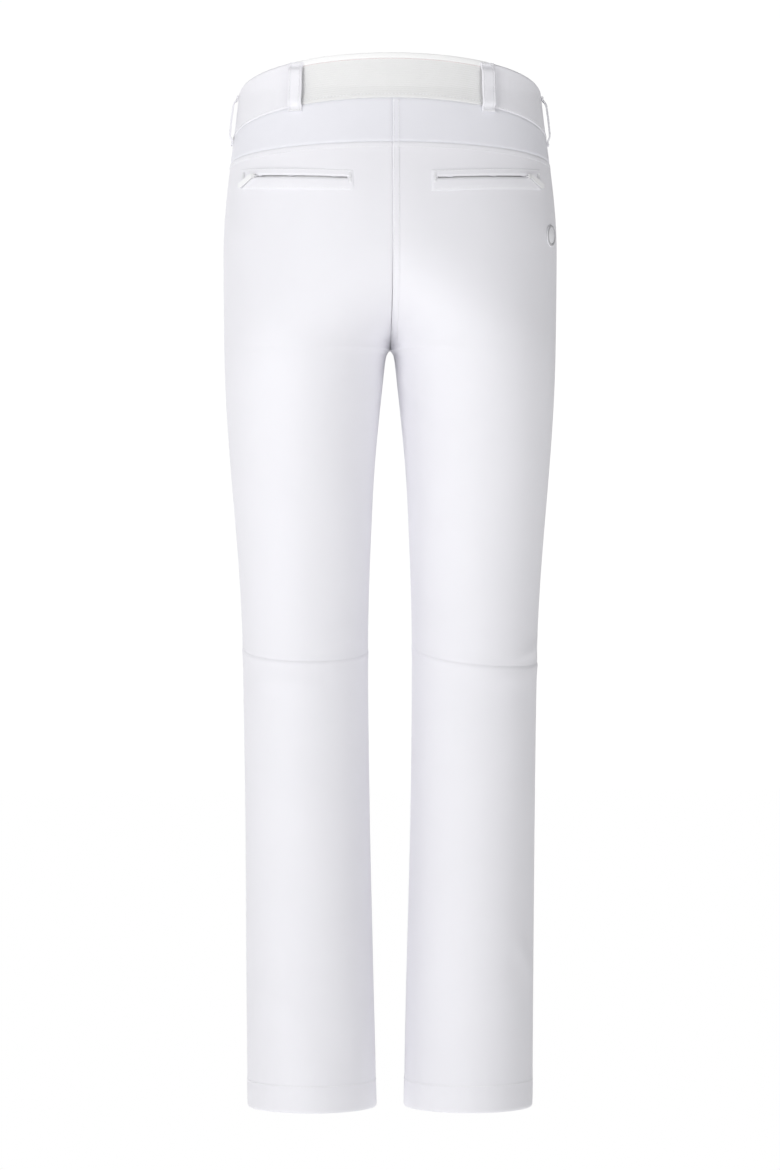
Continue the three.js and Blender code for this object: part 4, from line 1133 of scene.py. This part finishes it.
def teeth(low, high, out):
    """Two rows of interlocked teeth between two points of the front, standing out that far."""
    along = high - low
    length = np.linalg.norm(along)
    along = along / length
    middle = (low + high) / 2
    away = front_at(middle[0], middle[2], 1.0) - front_at(middle[0], middle[2], 0.0)
    across = np.cross(along, away)
    across /= np.linalg.norm(across)
    away = np.cross(across, along)
    corners = np.array([(x, y, z) for x in (-0.5, 0.5) for y in (-0.5, 0.5) for z in (0, 1)])
    sides = [(0, 1, 3, 2), (4, 6, 7, 5), (0, 4, 5, 1), (2, 3, 7, 6), (0, 2, 6, 4), (1, 5, 7, 3)]
    points, faces = [], []
    for k in range(int(length / TOOTH_PITCH)):
        for side in (-1, 1):
            shift = (k + 0.5 + 0.5 * (side > 0)) * TOOTH_PITCH
            if shift > length - 0.6:
                continue
            first = len(points)
            width, thick, tall = TOOTH
            narrow = np.where(corners[:, 2:] > 0.5, 0.7, 1.0)
            place = corners * (width, thick, tall) * np.concatenate([narrow, narrow, narrow**0], 1)
            place[:, 0] += side * 1.0
            place[:, 1] += shift
            place[:, 2] += out - tall
            points += list(low + place[:, :1] * across + place[:, 1:2] * along + place[:, 2:] * away)
            faces += [[first + v for v in f] for f in sides]
    return np.array(points), faces


def mirrored(extra):
    points, faces = extra
    return points * (-1, 1, 1), [f[::-1] for f in faces]


def inner_pieces():
    loose_piece("waist_facing", "upper", "lining", LINING, 7, flat)
    loose_piece("care_label", "upper", "lining", SATIN, 3, lambda p: rumpled(p, 0.25, 22, 3))
    loose_piece("fly_underlap", "upper", "shell", SHELL, 7, flat)
    fly = teeth(front_at(0.0, fly_foot), front_at(0.0, fly_top), 0.5)
    loose_piece("fly_zip", "upper", "zip_coil", TAPE, 7, flat, fly)
    hand = teeth(hand_foot, hand_top, 0.5)
    for side, sign in SIDES.items():
        extra = hand if sign > 0 else mirrored(hand)
        loose_piece(f"{side}_hand_zip", "upper", "zip_coil", TAPE, 7, flat, extra)
        loose_piece(f"{side}_back_zip", "upper", "zip_coil", COIL, 4, flat)
        loose_piece(f"{side}_hand_bag", "upper", "lining", LINING, 8, lambda p: rumpled(p, 0.5, 70, 11))
        loose_piece(f"{side}_back_bag", "upper", "lining", LINING, 8, lambda p: rumpled(p, 0.5, 70, 12))
        loose_piece(f"{side}_hanger", "upper", "lining", SATIN, 2.5, flat)
        lower = f"{side}_lower_leg"
        loose_piece(f"{side}_hem_facing", lower, "shell", LINING, 7, flat)
        axis = sign * (HEM_GAP + HEM_WIDTH) / 2
        loose_piece(f"{side}_gaiter", lower, "lining", LINING, 4, gathers(axis, 30, 1.7, 20, 175))
        loose_piece(f"{side}_gaiter_elastic", lower, "stretch", ELASTIC, 3, gathers(axis, 30, 0.9, 10, 60))


# Radius and height from the middle outwards: a flat face, a groove, the rim and its outer edge.
BADGE_PROFILE = [(0, 1.2), (7.6, 1.2), (8.0, 1.05), (8.4, 1.5), (9.0, 1.65), (9.9, 1.65), (10.5, 1.4)]
BADGE_PROFILE += [(10.9, 0.9), (11, 0.05)]


def badge():
    """A blank round badge with a raised rim, where the CAD's plain disc is."""
    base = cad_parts["hip_badge"]
    matrix = np.array(base.matrix_world)
    points = np.array([(*v.co, 1.0) for v in base.data.vertices]) @ matrix.T
    points = points[:, :3] / MM + (0, 0, SIDE_HEIGHT)
    middle = (points.min(axis=0) + points.max(axis=0)) / 2
    away = np.linalg.svd(np.unique(np.round(points - middle, 3), axis=0))[2][2]
    away *= np.sign(away @ (middle * (1, 1, 0)))
    across = np.cross((0, 0, 1), away)
    across /= np.linalg.norm(across)
    up = np.cross(away, across)
    middle = middle - away * 0.6
    around = np.linspace(0, 2 * np.pi, 64, endpoint=False)
    ring = np.cos(around)[:, None] * across + np.sin(around)[:, None] * up
    vertices, faces, slots = [middle + away * BADGE_PROFILE[0][1]], [], []
    for n, (radius, height) in enumerate(BADGE_PROFILE[1:]):
        first = len(vertices)
        vertices += list(middle + ring * radius + away * height)
        for k in range(64):
            m = (k + 1) % 64
            outward = (first + k, first + m)
            faces.append((0, *outward) if n == 0 else (first - 64 + k, *outward, first - 64 + m))
            slots.append(1 if 2 <= n <= 6 else 0)
    faces.append(tuple(range(len(vertices) - 1, len(vertices) - 65, -1)))
    slots.append(0)
    obj = made("blank_badge", vertices, faces, [PLASTIC, RIM], 1, slots=slots, sharp=60)
    belongs(obj, "upper", "badge", "hip_badge")


def front_stitches():
    """The curve beside the fly, and a row along each side of the hand pockets' zips."""
    foot, turn_at = fly_foot - 14, fly_foot + 26
    z = np.linspace(float(below_waist(lambda h: front_half(32.0, h), BAND_HEIGHT)) - 2, foot, 120)
    x = np.where(z > turn_at, 32.0, 1 + 31 * np.sqrt(np.clip((z - foot) / (turn_at - foot), 0, 1)))
    rows = [line_on(front_half, x, z, 0.15), line_on(front_half, np.maximum(x - 6, 0.6), z, 0.15)]
    obj = stitches("fly_stitches", rows)
    belongs(obj, "upper", "shell")
    share = np.linspace(-0.02, 1.02, 100)[:, None]
    line = hand_foot + (hand_top - hand_foot) * share
    for side, sign in SIDES.items():
        rows = [line_on(front_half, line[:, 0] + gap, line[:, 2], 0.15) for gap in (-8.5, 7.0)]
        obj = stitches(f"{side}_hand_pocket_stitches", rows, sign)
        belongs(obj, "upper", "shell")


inner_pieces()
badge()
front_stitches()

for name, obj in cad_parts.items():
    material = METAL if name.endswith(("cap", "socket")) else LACQUER
    for k in range(len(obj.material_slots)):
        obj.material_slots[k].material = material


# ---------- Stage ----------
def flat_white(name, strength):
    material = bpy.data.materials.new(name)
    material.use_nodes = True
    tree = material.node_tree
    tree.nodes.clear()
    light = node(tree, "ShaderNodeEmission", {"Color": (1, 1, 1, 1), "Strength": strength})
    result = node(tree, "ShaderNodeOutputMaterial")
    tree.links.new(light.outputs[0], result.inputs["Surface"])
    return material


def floor():
    size, drop = 14.0, 0.25
    mesh = bpy.data.meshes.new("floor")
    z = cad_box[0][2] - drop
    corners = [(-size, -size, z), (size, -size, z), (size, size, z), (-size, size, z)]
    mesh.from_pydata(corners, [], [(0, 1, 2, 3)])
    obj = bpy.data.objects.new("floor", mesh)
    bpy.context.scene.collection.objects.link(obj)
    mesh.materials.append(flat_white("floor_white", 1.0))


def area_light(name, place, size, watts, target=(0, 0, -0.5)):
    light = bpy.data.lights.new(name, "AREA")
    light.shape, light.size, light.energy = "SQUARE", size, watts
    obj = bpy.data.objects.new(name, light)
    obj.location = place
    obj.rotation_euler = (Vector(target) - Vector(place)).to_track_quat("-Z", "Y").to_euler()
    bpy.context.scene.collection.objects.link(obj)


def stage():
    scene = bpy.context.scene
    scene.view_settings.view_transform = "Standard"
    world = bpy.data.worlds.new("studio")
    world.use_nodes = True
    tree = world.node_tree
    background = tree.nodes["Background"]
    background.inputs["Color"].default_value = (1, 1, 1, 1)
    bright = maths(tree, "MULTIPLY_ADD", node(tree, "ShaderNodeLightPath").outputs["Is Camera Ray"], 0.91)
    bright.node.inputs[2].default_value = 0.11
    tree.links.new(bright, background.inputs["Strength"])
    scene.world = world
    floor()
    area_light("key", (2.6, 3.4, 0.6), 1.8, 76)
    area_light("far_side", (-2.6, 3.4, 0.4), 1.8, 36)
    area_light("left", (3.6, 0.6, 0.2), 1.8, 20)
    area_light("top", (0.6, 1.4, 2.4), 1.6, 8)
    area_light("front", (1.2, -4.2, 1.2), 2.4, 72)


VIEW_DISTANCE = 5.09
VIEW_HEIGHT_FROM_HEM = 533.5
FRAME_HEIGHT = 1201.3  # millimetres that the picture's height takes in at the trousers' middle
VIEW_TURN = math.radians(1.4)


def camera():
    data = bpy.data.cameras.new("camera")
    data.sensor_width = 36.0
    data.lens = 36.0 * VIEW_DISTANCE / (FRAME_HEIGHT * MM)
    obj = bpy.data.objects.new("camera", data)
    x, y = VIEW_DISTANCE * math.sin(VIEW_TURN), VIEW_DISTANCE * math.cos(VIEW_TURN)
    obj.location = (x, y, (VIEW_HEIGHT_FROM_HEM - SIDE_HEIGHT) * MM)
    obj.rotation_euler = (math.pi / 2, 0, math.pi - VIEW_TURN)
    bpy.context.scene.collection.objects.link(obj)
    bpy.context.scene.camera = obj


stage()
camera()
